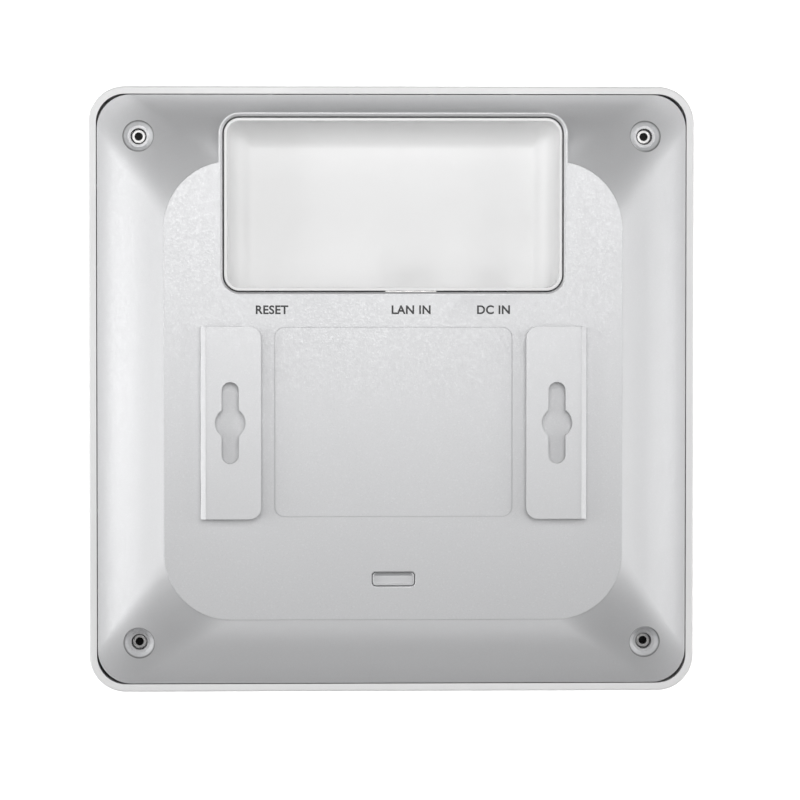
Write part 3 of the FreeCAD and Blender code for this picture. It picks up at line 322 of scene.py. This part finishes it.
plastics = {
    "cover_white": {"colour": (0.90, 0.90, 0.90), "grain": 0.35 * mm, "flow": 40 * mm,
                    "mottle": 0.015, "rough": 0.36, "sheen": 0.04, "relief": 0.006 * mm},
    "tray_white": {"colour": (0.90, 0.90, 0.90), "grain": 0.3 * mm, "flow": 25 * mm,
                   "mottle": 0.012, "rough": 0.33, "sheen": 0.04, "relief": 0.004 * mm},
    "black_plastic": {"colour": (0.022, 0.022, 0.024), "grain": 0.25 * mm, "flow": 6 * mm,
                      "mottle": 0.12, "rough": 0.42, "sheen": 0.08, "relief": 0.01 * mm},
    "button_black": {"colour": (0.028, 0.028, 0.030), "grain": 0.2 * mm, "flow": 3 * mm,
                     "mottle": 0.15, "rough": 0.5, "sheen": 0.08, "relief": 0.012 * mm},
    "chip_black": {"colour": (0.03, 0.03, 0.032), "grain": 0.12 * mm, "flow": 4 * mm,
                   "mottle": 0.2, "rough": 0.55, "sheen": 0.08, "relief": 0.012 * mm},
    "pad_grey": {"colour": (0.36, 0.37, 0.40), "grain": 0.2 * mm, "flow": 5 * mm,
                 "mottle": 0.12, "rough": 0.85, "sheen": 0.06, "relief": 0.03 * mm},
    "foam": {"colour": (0.05, 0.05, 0.055), "grain": 0.4 * mm, "flow": 2 * mm,
             "mottle": 0.3, "rough": 0.9, "sheen": 0.05, "relief": 0.12 * mm},
    "ferrite": {"colour": (0.10, 0.095, 0.09), "grain": 0.15 * mm, "flow": 2 * mm,
                "mottle": 0.25, "rough": 0.6, "sheen": 0.1, "relief": 0.02 * mm},
    "ceramic": {"colour": (0.42, 0.33, 0.24), "grain": 0.1 * mm, "flow": 1 * mm,
                "mottle": 0.12, "rough": 0.45, "sheen": 0.06, "relief": 0.006 * mm},
    "lead_black": {"colour": (0.03, 0.03, 0.03), "grain": 0.3 * mm, "flow": 4 * mm,
                   "mottle": 0.2, "rough": 0.5, "sheen": 0.08, "relief": 0.01 * mm},
}

# dishHighlight sets how much each well's cone is painted brighter, and foot the height of the
# painted shadow line.
flakes = {
    "shell_grey": {"colour": (0.655, 0.658, 0.668), "grain": 0.5 * mm, "flow": 30 * mm,
                   "flake": 0.4 * mm, "spark": 0.05, "pit": 0.05, "mottle": 0.10,
                   "rough": 0.40, "metal": 0.30, "glint": 0.06, "relief": 0.010 * mm,
                   "textured": 30.5 * mm, "wells": 80.9 * mm, "lip": 4.9 * mm, "dish": 3.3 * mm,
                   "dishHighlight": 1.4, "foot": 30.3 * mm},
    "rail_grey": {"colour": (0.665, 0.668, 0.678), "grain": 0.4 * mm, "flow": 20 * mm,
                  "flake": 0.35 * mm, "spark": 0.04, "pit": 0.04, "mottle": 0.07,
                  "rough": 0.39, "metal": 0.30, "glint": 0.05, "relief": 0.006 * mm,
                  "textured": 0.0, "wells": 80.9 * mm, "lip": 4.9 * mm, "dish": 3.3 * mm,
                  "dishHighlight": 1.0, "foot": 31.0 * mm},
}

metals = {
    # recess is the radius of the painted shade over a corner screw's drive recess.
    "screw_steel": {"colour": (0.62, 0.61, 0.60), "dark": (0.36, 0.36, 0.365),
                    "grain": 0.15 * mm, "flow": 1.2 * mm, "stretch": (1.0, 1.0, 0.2),
                    "rough": 0.36, "relief": 0.01 * mm, "wells": 80.9 * mm,
                    "recess": 1.38 * mm},
    "brass_metal": {"colour": (0.80, 0.58, 0.25), "dark": (0.55, 0.38, 0.15),
                    "grain": 0.12 * mm, "flow": 2 * mm, "stretch": (1.0, 1.0, 0.15),
                    "rough": 0.3, "relief": 0.01 * mm},
    "sink_aluminium": {"colour": (0.80, 0.80, 0.81), "dark": (0.62, 0.62, 0.64),
                       "grain": 0.2 * mm, "flow": 8 * mm, "stretch": (1.0, 0.06, 1.0),
                       "rough": 0.34, "relief": 0.01 * mm},
    "can_steel": {"colour": (0.74, 0.73, 0.71), "dark": (0.58, 0.57, 0.56),
                  "grain": 0.2 * mm, "flow": 6 * mm, "stretch": (0.08, 1.0, 1.0),
                  "rough": 0.27, "relief": 0.006 * mm},
    "gold_contact": {"colour": (0.98, 0.74, 0.32), "dark": (0.80, 0.56, 0.20),
                     "grain": 0.1 * mm, "flow": 2 * mm, "stretch": (1.0, 0.1, 1.0),
                     "rough": 0.2, "relief": 0.004 * mm},
}

board = {"colour": (0.012, 0.075, 0.035), "under": (0.05, 0.20, 0.08),
         "plated": (0.85, 0.68, 0.36), "track": 3.2 * mm, "via": 6.5 * mm, "weave": 0.5 * mm,
         "relief": 0.05 * mm, "long": 0.16, "wider": 1.3, "trackEdge": (0.05, 0.08),
         "viaEdge": (0.10, 0.13)}
clear = {"colour": (0.93, 0.94, 0.95), "dark": (0.80, 0.82, 0.84), "flow": 3 * mm,
         "rough": 0.16, "relief": 0.01 * mm}

paints = {name: mouldedPlastic(name, plan) for name, plan in plastics.items()}
paints.update({name: flakePlastic(name, plan) for name, plan in flakes.items()})
paints.update({name: workedMetal(name, plan) for name, plan in metals.items()})
paints["board_green"] = boardMask("board_green", board)
paints["clear_plastic"] = clearBody("clear_plastic", clear)
print("materials made")


finishes = {
    "cover_white": ["front_cover"],
    "shell_grey": ["back_shell", "latch_pocket"],
    "rail_grey": ["left_mount_rail", "right_mount_rail"],
    "tray_white": ["port_bay_tray"],
    "clear_plastic": ["light_guide", "status_light"],
    "foam": ["light_gasket"],
    "brass_metal": ["boss_inserts"],
    "screw_steel": ["corner_screws", "tray_screws", "board_screws", "heat_sink_pins"],
    "board_green": ["main_board"],
    "chip_black": ["processor", "memory_chips", "flash_chip", "radio_chips", "lan_transformer"],
    "pad_grey": ["thermal_pad"],
    "sink_aluminium": ["heat_sink", "round_capacitors"],
    "black_plastic": ["lan_jack_insert", "dc_jack_housing", "debug_header",
                      "reset_switch_body"],
    "button_black": ["reset_button", "reset_switch_stem"],
    "can_steel": ["left_radio_shield", "right_radio_shield", "lan_jack_shield",
                  "clock_crystal", "dc_jack_pin"],
    "ferrite": ["power_transformer", "power_inductors"],
    "ceramic": ["small_ceramics"],
    "gold_contact": ["lan_jack_contacts", "dc_jack_leaf", "reset_switch_contacts",
                     "antenna_sockets", "lead_plugs", "left_upper_antenna",
                     "left_lower_antenna", "right_upper_antenna", "right_lower_antenna"],
    "lead_black": ["left_upper_lead", "left_lower_lead", "right_upper_lead",
                   "right_lower_lead"],
}
slotOf = {node: slot for slot, group in finishes.items() for node in group}


def coat(obj, slotName):
    obj.data.materials.clear()
    obj.data.materials.append(paints[slotName])


# Normals from the faces that meet within an angle, each weighed by its area.
def setNormals(data, angle):
    limit = math.cos(math.radians(angle))
    faces = [(face.normal.copy(), face.area) for face in data.polygons]
    around = [[] for _ in data.vertices]
    for face in data.polygons:
        for vertex in face.vertices:
            around[vertex].append(face.index)
    normals = []
    for face in data.polygons:
        own = faces[face.index][0]
        for vertex in face.vertices:
            total = Vector()
            for other in around[vertex]:
                normal, area = faces[other]
                if normal.dot(own) > limit:
                    total += normal * area
            normals.append(total.normalized() if total.length_squared else own)
    data.shade_smooth()
    data.normals_split_custom_set(normals)


# A clean copy of a CAD node, joined at its seams.
def cleanCopy(nodeName, angle):
    mesh = bmesh.new()
    mesh.from_mesh(nodes[nodeName].data)
    bmesh.ops.remove_doubles(mesh, verts=mesh.verts, dist=0.002 * mm)
    bmesh.ops.dissolve_degenerate(mesh, edges=mesh.edges, dist=0.001 * mm)
    data = bpy.data.meshes.new(nodeName + "_shape")
    mesh.to_mesh(data)
    mesh.free()
    setNormals(data, angle)
    return newObject(nodeName + "_visual", data)


def newObject(name, data):
    obj = bpy.data.objects.new(name, data)
    bpy.context.scene.collection.objects.link(obj)
    return obj


def standIn(piece, nodeName):
    coat(piece, slotOf[nodeName])
    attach(piece, body_of(nodes[nodeName])[0])
    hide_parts(nodeName)


# A station of a ring solid: half its width, its corner radius and its height, in millimetres.
def stationList(name, stations):
    data = bpy.data.meshes.new(name)
    data.from_pydata([tuple(value * mm for value in station) for station in stations], [], [])
    return newObject(name, data)


# Stations round an arc whose middle is at the given station, from one angle to another.
def arc(half, corner, level, radius, first, last, steps):
    made = []
    for step in range(steps + 1):
        angle = math.radians(first + (last - first) * step / steps)
        out = radius * math.cos(angle)
        made.append((half + out, corner + out, level + radius * math.sin(angle)))
    return made


class Solid:
    # Builds a node tree whose pieces are ring solids, and joins or cuts them.
    def __init__(self, name, sizes):
        self.name = name
        self.sizes = sizes
        self.lists = []
        self.tree = bpy.data.node_groups.new(name, "GeometryNodeTree")
        self.tree.interface.new_socket("Geometry", in_out="OUTPUT",
                                       socket_type="NodeSocketGeometry")
        for label, value in sizes.items():
            kind = "NodeSocketInt" if isinstance(value, int) else "NodeSocketFloat"
            self.tree.interface.new_socket(label, in_out="INPUT", socket_type=kind)
        entry = self.tree.nodes.new("NodeGroupInput")
        self.given = {socket.name: Sig(self.tree, socket) for socket in entry.outputs
                      if socket.name}
        self.start = Sig(self.tree, None)

    # Every station becomes a rounded rectangle, and the rows are skinned into one closed solid.
    def rings(self, stations, extra=0.0, centre=(0.0, 0.0)):
        points = stationList(f"{self.name}_{len(self.lists)}", stations)
        self.lists.append(points)
        add = self.start.add
        steps = self.given["Corner Steps"]
        row = 4 * (steps + 1) + 1
        grid = add("GeometryNodeMeshGrid", {"Vertices X": len(stations), "Vertices Y": row})
        index = add("GeometryNodeInputIndex")
        station = (index / row).curve("FLOOR")
        column = index - station * row
        turn = (column / (steps + 1)).curve("FLOOR")
        angle = (turn + (column - turn * (steps + 1)) / steps) * (math.pi / 2)
        middle = (turn + 0.5) * (math.pi / 2)
        source = add("GeometryNodeObjectInfo", {"Object": points}, 4)
        spot = add("GeometryNodeSampleIndex",
                   {"Geometry": source, "Value": add("GeometryNodeInputPosition"),
                    "Index": station}, data_type="FLOAT_VECTOR")
        half, corner, level = (spot.part(axis) for axis in "XYZ")
        reach = (half - corner) * math.sqrt(2)
        across = half.compareAbove(0.0) * extra * mm * math.sqrt(2)
        x = (reach + across) * middle.curve("COSINE") + corner * angle.curve("COSINE")
        y = reach * middle.curve("SINE") + corner * angle.curve("SINE")
        where = add("ShaderNodeCombineXYZ", {0: x + centre[0] * mm, 1: y + centre[1] * mm,
                                             2: level})
        moved = add("GeometryNodeSetPosition", {"Geometry": grid, "Position": where})
        joined = add("GeometryNodeMergeByDistance", {"Geometry": moved,
                                                     "Distance": 0.0004 * mm})
        outward = add("GeometryNodeFlipFaces", {"Mesh": joined})
        return add("GeometryNodeTriangulate", {"Mesh": outward})

    def box(self, low, high):
        size = tuple((b - a) * mm for a, b in zip(low, high))
        centre = tuple((a + b) / 2 * mm for a, b in zip(low, high))
        cube = self.start.add("GeometryNodeMeshCube", {"Size": size})
        return self.start.add("GeometryNodeTransform", {"Geometry": cube,
                                                        "Translation": centre})

    # Copies of one shape on a list of points.
    def copies(self, shape, centres):
        points = stationList(f"{self.name}_{len(self.lists)}",
                             [(*centre, 0.0)[:3] for centre in centres])
        self.lists.append(points)
        source = self.start.add("GeometryNodeObjectInfo", {"Object": points}, 4)
        made = self.start.add("GeometryNodeInstanceOnPoints", {"Points": source,
                                                               "Instance": shape})
        return self.start.add("GeometryNodeRealizeInstances", {"Geometry": made})

    def union(self, *shapes):
        return self.start.add("GeometryNodeMeshBoolean", {"Mesh 2": list(shapes)},
                              operation="UNION", solver="EXACT")

    def cut(self, shape, *cutters):
        return self.start.add("GeometryNodeMeshBoolean", {"Mesh 1": shape,
                                                          "Mesh 2": list(cutters)},
                              operation="DIFFERENCE", solver="EXACT")

    def finish(self, shape, slotName, angle):
        real = self.start.add("GeometryNodeRealizeInstances", {"Geometry": shape})
        painted = self.start.add("GeometryNodeSetMaterial", {"Geometry": real,
                                                             "Material": paints[slotName]})
        leave = self.tree.nodes.new("NodeGroupOutput")
        self.tree.links.new(painted.socket, leave.inputs[0])
        holder = newObject(self.name + "_holder", bpy.data.meshes.new(self.name + "_holder"))
        live = holder.modifiers.new("build", "NODES")
        live.node_group = self.tree
        for item in self.tree.interface.items_tree:
            if item.in_out == "INPUT":
                live[item.identifier] = self.sizes[item.name]
        data = bpy.data.meshes.new_from_object(
            holder.evaluated_get(bpy.context.evaluated_depsgraph_get()))
        bpy.data.objects.remove(holder)
        for points in self.lists:
            bpy.data.objects.remove(points)
        setNormals(data, angle)
        print(self.name, "faces", len(data.polygons))
        return newObject(self.name, data)


def pillar(solid, radius, low, high):
    return solid.rings([(0.0, 0.0, low), (radius, radius, low), (radius, radius, high),
                        (0.0, 0.0, high)])


def plate(solid, half, corner, low, high, middle):
    return solid.rings([(0.0, 0.0, low), (half[1], corner, low), (half[1], corner, high),
                        (0.0, 0.0, high)], half[0] - half[1], (0.0, middle))


def corners(reach):
    return [(sx * reach, sy * reach) for sx in (-1, 1) for sy in (-1, 1)]


def mirrored(places):
    return [(side * x, y) for side in (-1, 1) for x, y in places]


frontCover = {
    "half": 97.0, "corner": 11.8, "height": 15.0, "wall": 2.5, "face": 2.5,
    "frontRound": 5.0, "rimRound": 0.8, "insideRound": 2.5,
    "ribs": 6, "ribPitch": 26.0, "ribWidth": 1.5, "ribReach": 2.2, "ribTop": 11.95,
    "post": 4.0, "postTop": 8.5, "insert": 2.1, "insertLow": 3.45, "wells": 80.9,
    "windowHalf": (7.1, 1.3), "windowPlace": -60.0,
    "pins": ((82.5, 44.0), (82.5, 16.0), (82.5, -29.0), (82.5, -57.0)),
    "stand": 2.2, "standTop": 7.0, "pin": 0.95, "pinTop": 8.7,
    # how far a piece reaches into what it joins, and a cutter past what it cuts
    "bite": 0.5, "through": 1.0,
}


def buildCover(plan):
    solid = Solid("front_cover_visual", {"Corner Steps": 20})
    half, corner, wall, face = (plan[key] for key in ("half", "corner", "wall", "face"))
    front, rim, inside = (plan[key] for key in ("frontRound", "rimRound", "insideRound"))
    inner, bite, through = half - wall, plan["bite"], plan["through"]
    outline = [(0.0, 0.0, 0.0)]
    outline += arc(half - front, corner - front, front, front, -90, 0, 10)
    outline += arc(half - rim, corner - rim, plan["height"] - rim, rim, 0, 90, 5)
    outline.append((inner, corner - wall, plan["height"]))
    outline += arc(inner - inside, corner - wall - inside, face + inside, inside, 0, -90, 6)
    outline.append((0.0, 0.0, face))
    body = solid.rings(outline)
    ribs = []
    for side in (-1, 1):
        for number in range(plan["ribs"]):
            middle = (number - (plan["ribs"] - 1) / 2) * plan["ribPitch"]
            ends = sorted((side * (inner - plan["ribReach"]), side * (inner + bite)))
            edges = (middle - plan["ribWidth"] / 2, middle + plan["ribWidth"] / 2)
            ribs.append(solid.box((ends[0], edges[0], face - bite),
                                  (ends[1], edges[1], plan["ribTop"])))
            ribs.append(solid.box((edges[0], ends[0], face - bite),
                                  (edges[1], ends[1], plan["ribTop"])))
    post = solid.rings([(0.0, 0.0, face - bite), (plan["post"], plan["post"], face - bite),
                        (plan["post"], plan["post"], plan["postTop"]),
                        (plan["insert"], plan["insert"], plan["postTop"]),
                        (plan["insert"], plan["insert"], plan["insertLow"]),
                        (0.0, 0.0, plan["insertLow"])])
    posts = solid.copies(post, corners(plan["wells"]))
    window = plate(solid, plan["windowHalf"], plan["windowHalf"][1], -through, face + through,
                   plan["windowPlace"])
    stand = solid.rings([(0.0, 0.0, face - bite), (plan["stand"],) * 2 + (face - bite,),
                         (plan["stand"],) * 2 + (plan["standTop"],),
                         (plan["pin"],) * 2 + (plan["standTop"],),
                         (plan["pin"],) * 2 + (plan["pinTop"],), (0.0, 0.0, plan["pinTop"])])
    stands = solid.copies(stand, mirrored(plan["pins"]))
    shape = solid.cut(solid.union(body, posts, stands, *ribs), window)
    return solid.finish(shape, "cover_white", 35)


standIn(buildCover(frontCover), "front_cover")


backShell = {
    "half": 94.2, "corner": 10.8, "rim": 15.0, "skirt": 12.0, "wall": 2.0,
    "plateauHalf": 72.75, "plateauCorner": 21.3, "top": 31.0, "step": 0.7, "round": 0.35,
    "slopeStart": 0.3, "stations": 18,
    "wells": 80.9, "well": 4.95, "wellWall": 1.5, "coneTop": 16.4, "coneLow": 14.8,
    "cone": 3.45, "bore": 2.6, "seat": 10.4, "shank": 1.7, "post": 4.0, "postLow": 8.5,
    "bayHalf": (53.9, 27.7), "bayPlace": 59.0, "bayCorner": 5.4, "bayFrame": 1.35,
    "bayLow": 15.2, "bayEdge": 0.2, "bayMouth": 0.95, "lift": 0.01,
    "labelHalf": (37.75, 30.15), "labelPlace": -9.9, "labelCorner": 3.3, "labelDepth": 0.12,
    "grooveWidth": 0.35, "grooveDepth": 0.4,
    "latchHalf": (6.85, 2.25), "latchPlace": -59.7, "latchCorner": 1.3, "latchEdge": 0.35,
    "bosses": ((60.0, -59.0), (60.0, 22.0)), "boss": 3.0, "bossLow": 14.0, "bossHole": 1.4,
    "ears": ((59.65, 40.0), (59.65, 78.0)), "ear": 2.8, "earLow": 14.5, "earHole": 1.2,
    "slots": (-32.0, -10.0, 12.0), "slotX": (59.3, 61.0), "slotHalf": 4.1, "slotLow": 27.7,
    "windows": (((-2.7, 13.9), (13.7, 27.8)), ((26.9, 36.5), (13.7, 25.3))),
    "windowY": (28.95, 34.0),
    # where the stub ends and the sleeve of a well runs, and how far cutters pass
    "stubHigh": 2.2, "sleeveFrom": 2, "sleeveOver": 0.6, "sleeveGap": 0.02,
    "keptLow": 5.0, "keptOver": 5, "wellLow": 7.0, "bayOver": 3, "latchOver": 0.02,
    "rimShare": 0.8, "holeLow": 12.0, "holeDeep": 8.0, "islandLow": 2, "islandOver": 3,
    "through": 1,
}


def slopeAt(plan, share):
    rise = plan["top"] - plan["step"] - plan["rim"]
    start = plan["slopeStart"]
    level = plan["rim"] + rise * (start * share + (1 - start) * share ** 2)
    width = plan["half"] - plan["plateauHalf"]
    lean = math.atan(rise / width * (start + 2 * (1 - start) * share))
    return plan["half"] - share * width, level, lean


def slopeStations(plan, wall):
    made = []
    for number in range(plan["stations"] + 1):
        share = number / plan["stations"]
        half, level, lean = slopeAt(plan, share)
        inset = wall * math.sin(lean)
        corner = plan["corner"] + share * (plan["plateauCorner"] - plan["corner"]) - inset
        made.append((half - inset, corner, level - wall * math.cos(lean)))
    return made


def buildShell(plan):
    solid = Solid("back_shell_visual", {"Corner Steps": 16})
    half, corner, top, wall = (plan[key] for key in ("half", "corner", "top", "wall"))
    over, through = top + plan["keptOver"], plan["through"]
    outline = [(0.0, 0.0, plan["skirt"]), (half, corner, plan["skirt"])]
    outline += slopeStations(plan, 0.0)
    outline += arc(plan["plateauHalf"] - plan["round"], plan["plateauCorner"] - plan["round"],
                   top - plan["round"], plan["round"], 0, 90, 5)
    outline.append((0.0, 0.0, top))
    outside = solid.rings(outline)

    bayHalf, bayCorner, bayFrame = plan["bayHalf"], plan["bayCorner"], plan["bayFrame"]
    extra = bayHalf[0] - bayHalf[1]
    centre = (0.0, plan["bayPlace"])
    frameHalf, frameCorner = bayHalf[1] + bayFrame, bayCorner + bayFrame
    edge, rise = plan["bayEdge"], top + plan["lift"]
    frameLine = [(0.0, 0.0, plan["bayLow"]), (frameHalf, frameCorner, plan["bayLow"])]
    frameLine += arc(frameHalf - edge, frameCorner - edge, rise - edge, edge, 0, 90, 4)
    frameLine.append((0.0, 0.0, rise))
    bayFrameSolid = solid.rings(frameLine, extra, centre)

    stub = pillar(solid, plan["post"], plan["postLow"], plan["postLow"] + plan["stubHigh"])
    sleeve = pillar(solid, plan["well"] + plan["wellWall"] - plan["sleeveGap"],
                    plan["postLow"] + plan["sleeveFrom"], plan["skirt"] + plan["sleeveOver"])
    feet = solid.copies(solid.union(stub, sleeve), corners(plan["wells"]))
    body = solid.union(outside, bayFrameSolid, feet)

    ceiling = top - wall
    start, rim = plan["skirt"] - through, plan["rim"] - plan["rimShare"] * wall
    hollow = [(0.0, 0.0, start), (half - wall, corner - wall, start),
              (half - wall, corner - wall, rim)]
    hollow += [station for station in slopeStations(plan, wall)
               if station[0] < half - wall and rim < station[2] < ceiling]
    hollow += [(plan["plateauHalf"] - wall, plan["plateauCorner"] - wall, ceiling),
               (0.0, 0.0, ceiling)]
    kept = [solid.copies(pillar(solid, plan["well"] + plan["wellWall"], plan["keptLow"], over),
                         corners(plan["wells"])),
            solid.copies(pillar(solid, plan["boss"], plan["bossLow"], over),
                         mirrored(plan["bosses"])),
            solid.copies(pillar(solid, plan["ear"], plan["earLow"], over),
                         mirrored(plan["ears"])),
            solid.rings([(0.0, 0.0, plan["bayLow"]), (frameHalf, frameCorner, plan["bayLow"]),
                         (frameHalf, frameCorner, over), (0.0, 0.0, over)], extra, centre)]
    cavity = solid.cut(solid.rings(hollow), *kept)

    low = plan["wellLow"]
    well = solid.rings([(0.0, 0.0, low), (plan["shank"],) * 2 + (low,),
                        (plan["shank"],) * 2 + (plan["seat"],),
                        (plan["bore"],) * 2 + (plan["seat"],),
                        (plan["bore"],) * 2 + (plan["coneLow"],),
                        (plan["cone"],) * 2 + (plan["coneLow"],),
                        (plan["well"],) * 2 + (plan["coneTop"],),
                        (plan["well"],) * 2 + (over,), (0.0, 0.0, over)])
    mouth = plan["bayMouth"]
    bay = [(0.0, 0.0, plan["keptLow"]), (bayHalf[1], bayCorner, plan["keptLow"])]
    bay += arc(bayHalf[1] + mouth, bayCorner + mouth, rise - mouth, mouth, 180, 90, 6)
    bay += [(bayHalf[1] + mouth, bayCorner + mouth, rise + plan["bayOver"]),
            (0.0, 0.0, rise + plan["bayOver"])]
    labelHalf, labelCorner, groove = plan["labelHalf"], plan["labelCorner"], plan["grooveWidth"]
    island = plate(solid, tuple(size - groove for size in labelHalf), labelCorner - groove,
                   top - plan["islandLow"], top + plan["islandOver"], plan["labelPlace"])
    line = solid.cut(plate(solid, labelHalf, labelCorner, top - plan["grooveDepth"],
                           top + through, plan["labelPlace"]), island)
    bevel = plan["latchEdge"]
    latch = solid.rings([(0.0, 0.0, ceiling - through),
                         (plan["latchHalf"][1], plan["latchCorner"], ceiling - through)]
                        + arc(plan["latchHalf"][1] + bevel, plan["latchCorner"] + bevel,
                              top - bevel, bevel, 180, 90, 4)
                        + [(0.0, 0.0, top + plan["latchOver"])],
                        plan["latchHalf"][0] - plan["latchHalf"][1], (0.0, plan["latchPlace"]))
    holes = [solid.copies(well, corners(plan["wells"])), solid.rings(bay, extra, centre),
             line, plate(solid, labelHalf, labelCorner, top - plan["labelDepth"],
                         top + through, plan["labelPlace"]), latch,
             solid.copies(pillar(solid, plan["bossHole"], plan["holeLow"],
                                 plan["bossLow"] + plan["holeDeep"]), mirrored(plan["bosses"])),
             solid.copies(pillar(solid, plan["earHole"], plan["holeLow"],
                                 plan["earLow"] + plan["holeDeep"]), mirrored(plan["ears"]))]
    inner, outer = plan["slotX"]
    for middle in plan["slots"]:
        for x in ((inner, outer), (-outer, -inner)):
            holes.append(solid.box((x[0], middle - plan["slotHalf"], plan["slotLow"]),
                                   (x[1], middle + plan["slotHalf"], top + through)))
    for x, z in plan["windows"]:
        holes.append(solid.box((x[0], plan["windowY"][0], z[0]),
                               (x[1], plan["windowY"][1], z[1])))
    return solid.finish(solid.cut(body, cavity, *holes), "shell_grey", 24)


standIn(buildShell(backShell), "back_shell")

builtHere = ("front_cover", "back_shell")
for nodeName in slotOf:
    if nodeName not in builtHere:
        standIn(cleanCopy(nodeName, 32), nodeName)
print("pieces finished", len(slotOf))


prints = {
    "height": 2.75 * mm, "thick": 0.02 * mm, "bold": 0.10 * mm, "baseline": 24.4 * mm,
    "capShare": 0.73, "spacing": 1.05,
    "words": {"reset_name": ("RESET", "reset_button"), "lan_name": ("LAN IN", "lan_jack_shield"),
              "dc_name": ("DC IN", "dc_jack_housing")},
}
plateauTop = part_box("back_shell")[1][2]
for name, (word, over) in prints["words"].items():
    letters = bpy.data.curves.new(name, "FONT")
    letters.body = word
    letters.align_x = "CENTER"
    letters.size = prints["height"] / prints["capShare"]
    letters.extrude = prints["thick"] / 2
    letters.offset = prints["bold"]
    letters.space_character = prints["spacing"]
    drawn = newObject(name + "_text", letters)
    low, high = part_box(over)
    middle = (low[0] + high[0]) / 2
    data = bpy.data.meshes.new_from_object(drawn.evaluated_get(
        bpy.context.evaluated_depsgraph_get()))
    bpy.data.objects.remove(drawn)
    data.transform(Matrix.Translation((middle, prints["baseline"],
                                       plateauTop + prints["thick"] / 2)))
    label = newObject(name, data)
    coat(label, "black_plastic")
    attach(label, "housing")
print("names printed")


studio = {
    "floor": 3.0, "floorDrop": 0.1 * mm, "floorGlow": 0.86,
    "floorTints": ((0.87, 0.87, 0.87), (0.90, 0.90, 0.90)),
    "world": 0.0,
    "lampSize": 0.4, "lampAim": (0.0, 0.0, 0.02), "lampUp": (0.0, 1.0, 0.01),
    "lamps": {
        "leftLow": {"place": (-0.603, 0.0, 0.263), "power": 1.40},
        "leftHigh": {"place": (-0.435, 0.0, 0.503), "power": 0.66},
        "rightLow": {"place": (0.603, 0.0, 0.263), "power": 1.06},
        "rightHigh": {"place": (0.435, 0.0, 0.503), "power": 0.56},
        "backLow": {"place": (0.0, -0.603, 0.263), "power": 0.25},
        "overhead": {"place": (0.0, 0.168, 0.648), "power": 1.97},
    },
    "eye": (-0.041, 0.040, 1.365), "aim": (0.0026, -0.0034, 0.015), "width": 0.2563,
    "sensor": 36.0,
}

scene = bpy.context.scene
scene.view_settings.view_transform = "Standard"
scene.view_settings.look = "None"

half, level = studio["floor"] / 2, -studio["floorDrop"]
floorMesh = bpy.data.meshes.new("floor")
floorMesh.from_pydata([(-half, -half, level), (half, -half, level), (half, half, level),
                       (-half, half, level)], [], [(0, 1, 2, 3)])
floor = newObject("floor", floorMesh)
floorPaint, floorSurface, floorPlace = newMaterial("floor_white")
floorShade = floorPlace.noise(0.5, 2.0, 0.5).tint(*studio["floorTints"])
fill(floorSurface, {"Base Color": floorShade, "Roughness": 0.9, "Specular IOR Level": 0.1,
                    "Emission Color": (1.0, 1.0, 1.0),
                    "Emission Strength": studio["floorGlow"]})
floorMesh.materials.append(floorPaint)


def facing(eye, aim, up):
    forward = (Vector(aim) - Vector(eye)).normalized()
    right = forward.cross(Vector(up)).normalized()
    turn = Matrix((right, right.cross(forward), -forward)).transposed()
    return Matrix.Translation(eye) @ turn.to_4x4()


for name, plan in studio["lamps"].items():
    lamp = bpy.data.lights.new(name, "AREA")
    lamp.shape = "SQUARE"
    lamp.size = studio["lampSize"]
    lamp.energy = plan["power"]
    holder = newObject(name, lamp)
    holder.matrix_world = facing(plan["place"], studio["lampAim"], studio["lampUp"])

world = bpy.data.worlds.new("studio")
world.use_nodes = True
world.node_tree.nodes["Background"].inputs["Strength"].default_value = studio["world"]
world.node_tree.nodes["Background"].inputs["Color"].default_value = (1.0, 1.0, 1.0, 1.0)
scene.world = world

lens = bpy.data.cameras.new("camera")
lens.sensor_width = studio["sensor"]
distance = (Vector(studio["aim"]) - Vector(studio["eye"])).length
lens.lens = lens.sensor_width * distance / studio["width"]
camera = newObject("camera", lens)
camera.matrix_world = facing(studio["eye"], studio["aim"], (0.0, 1.0, 0.0))
scene.camera = camera
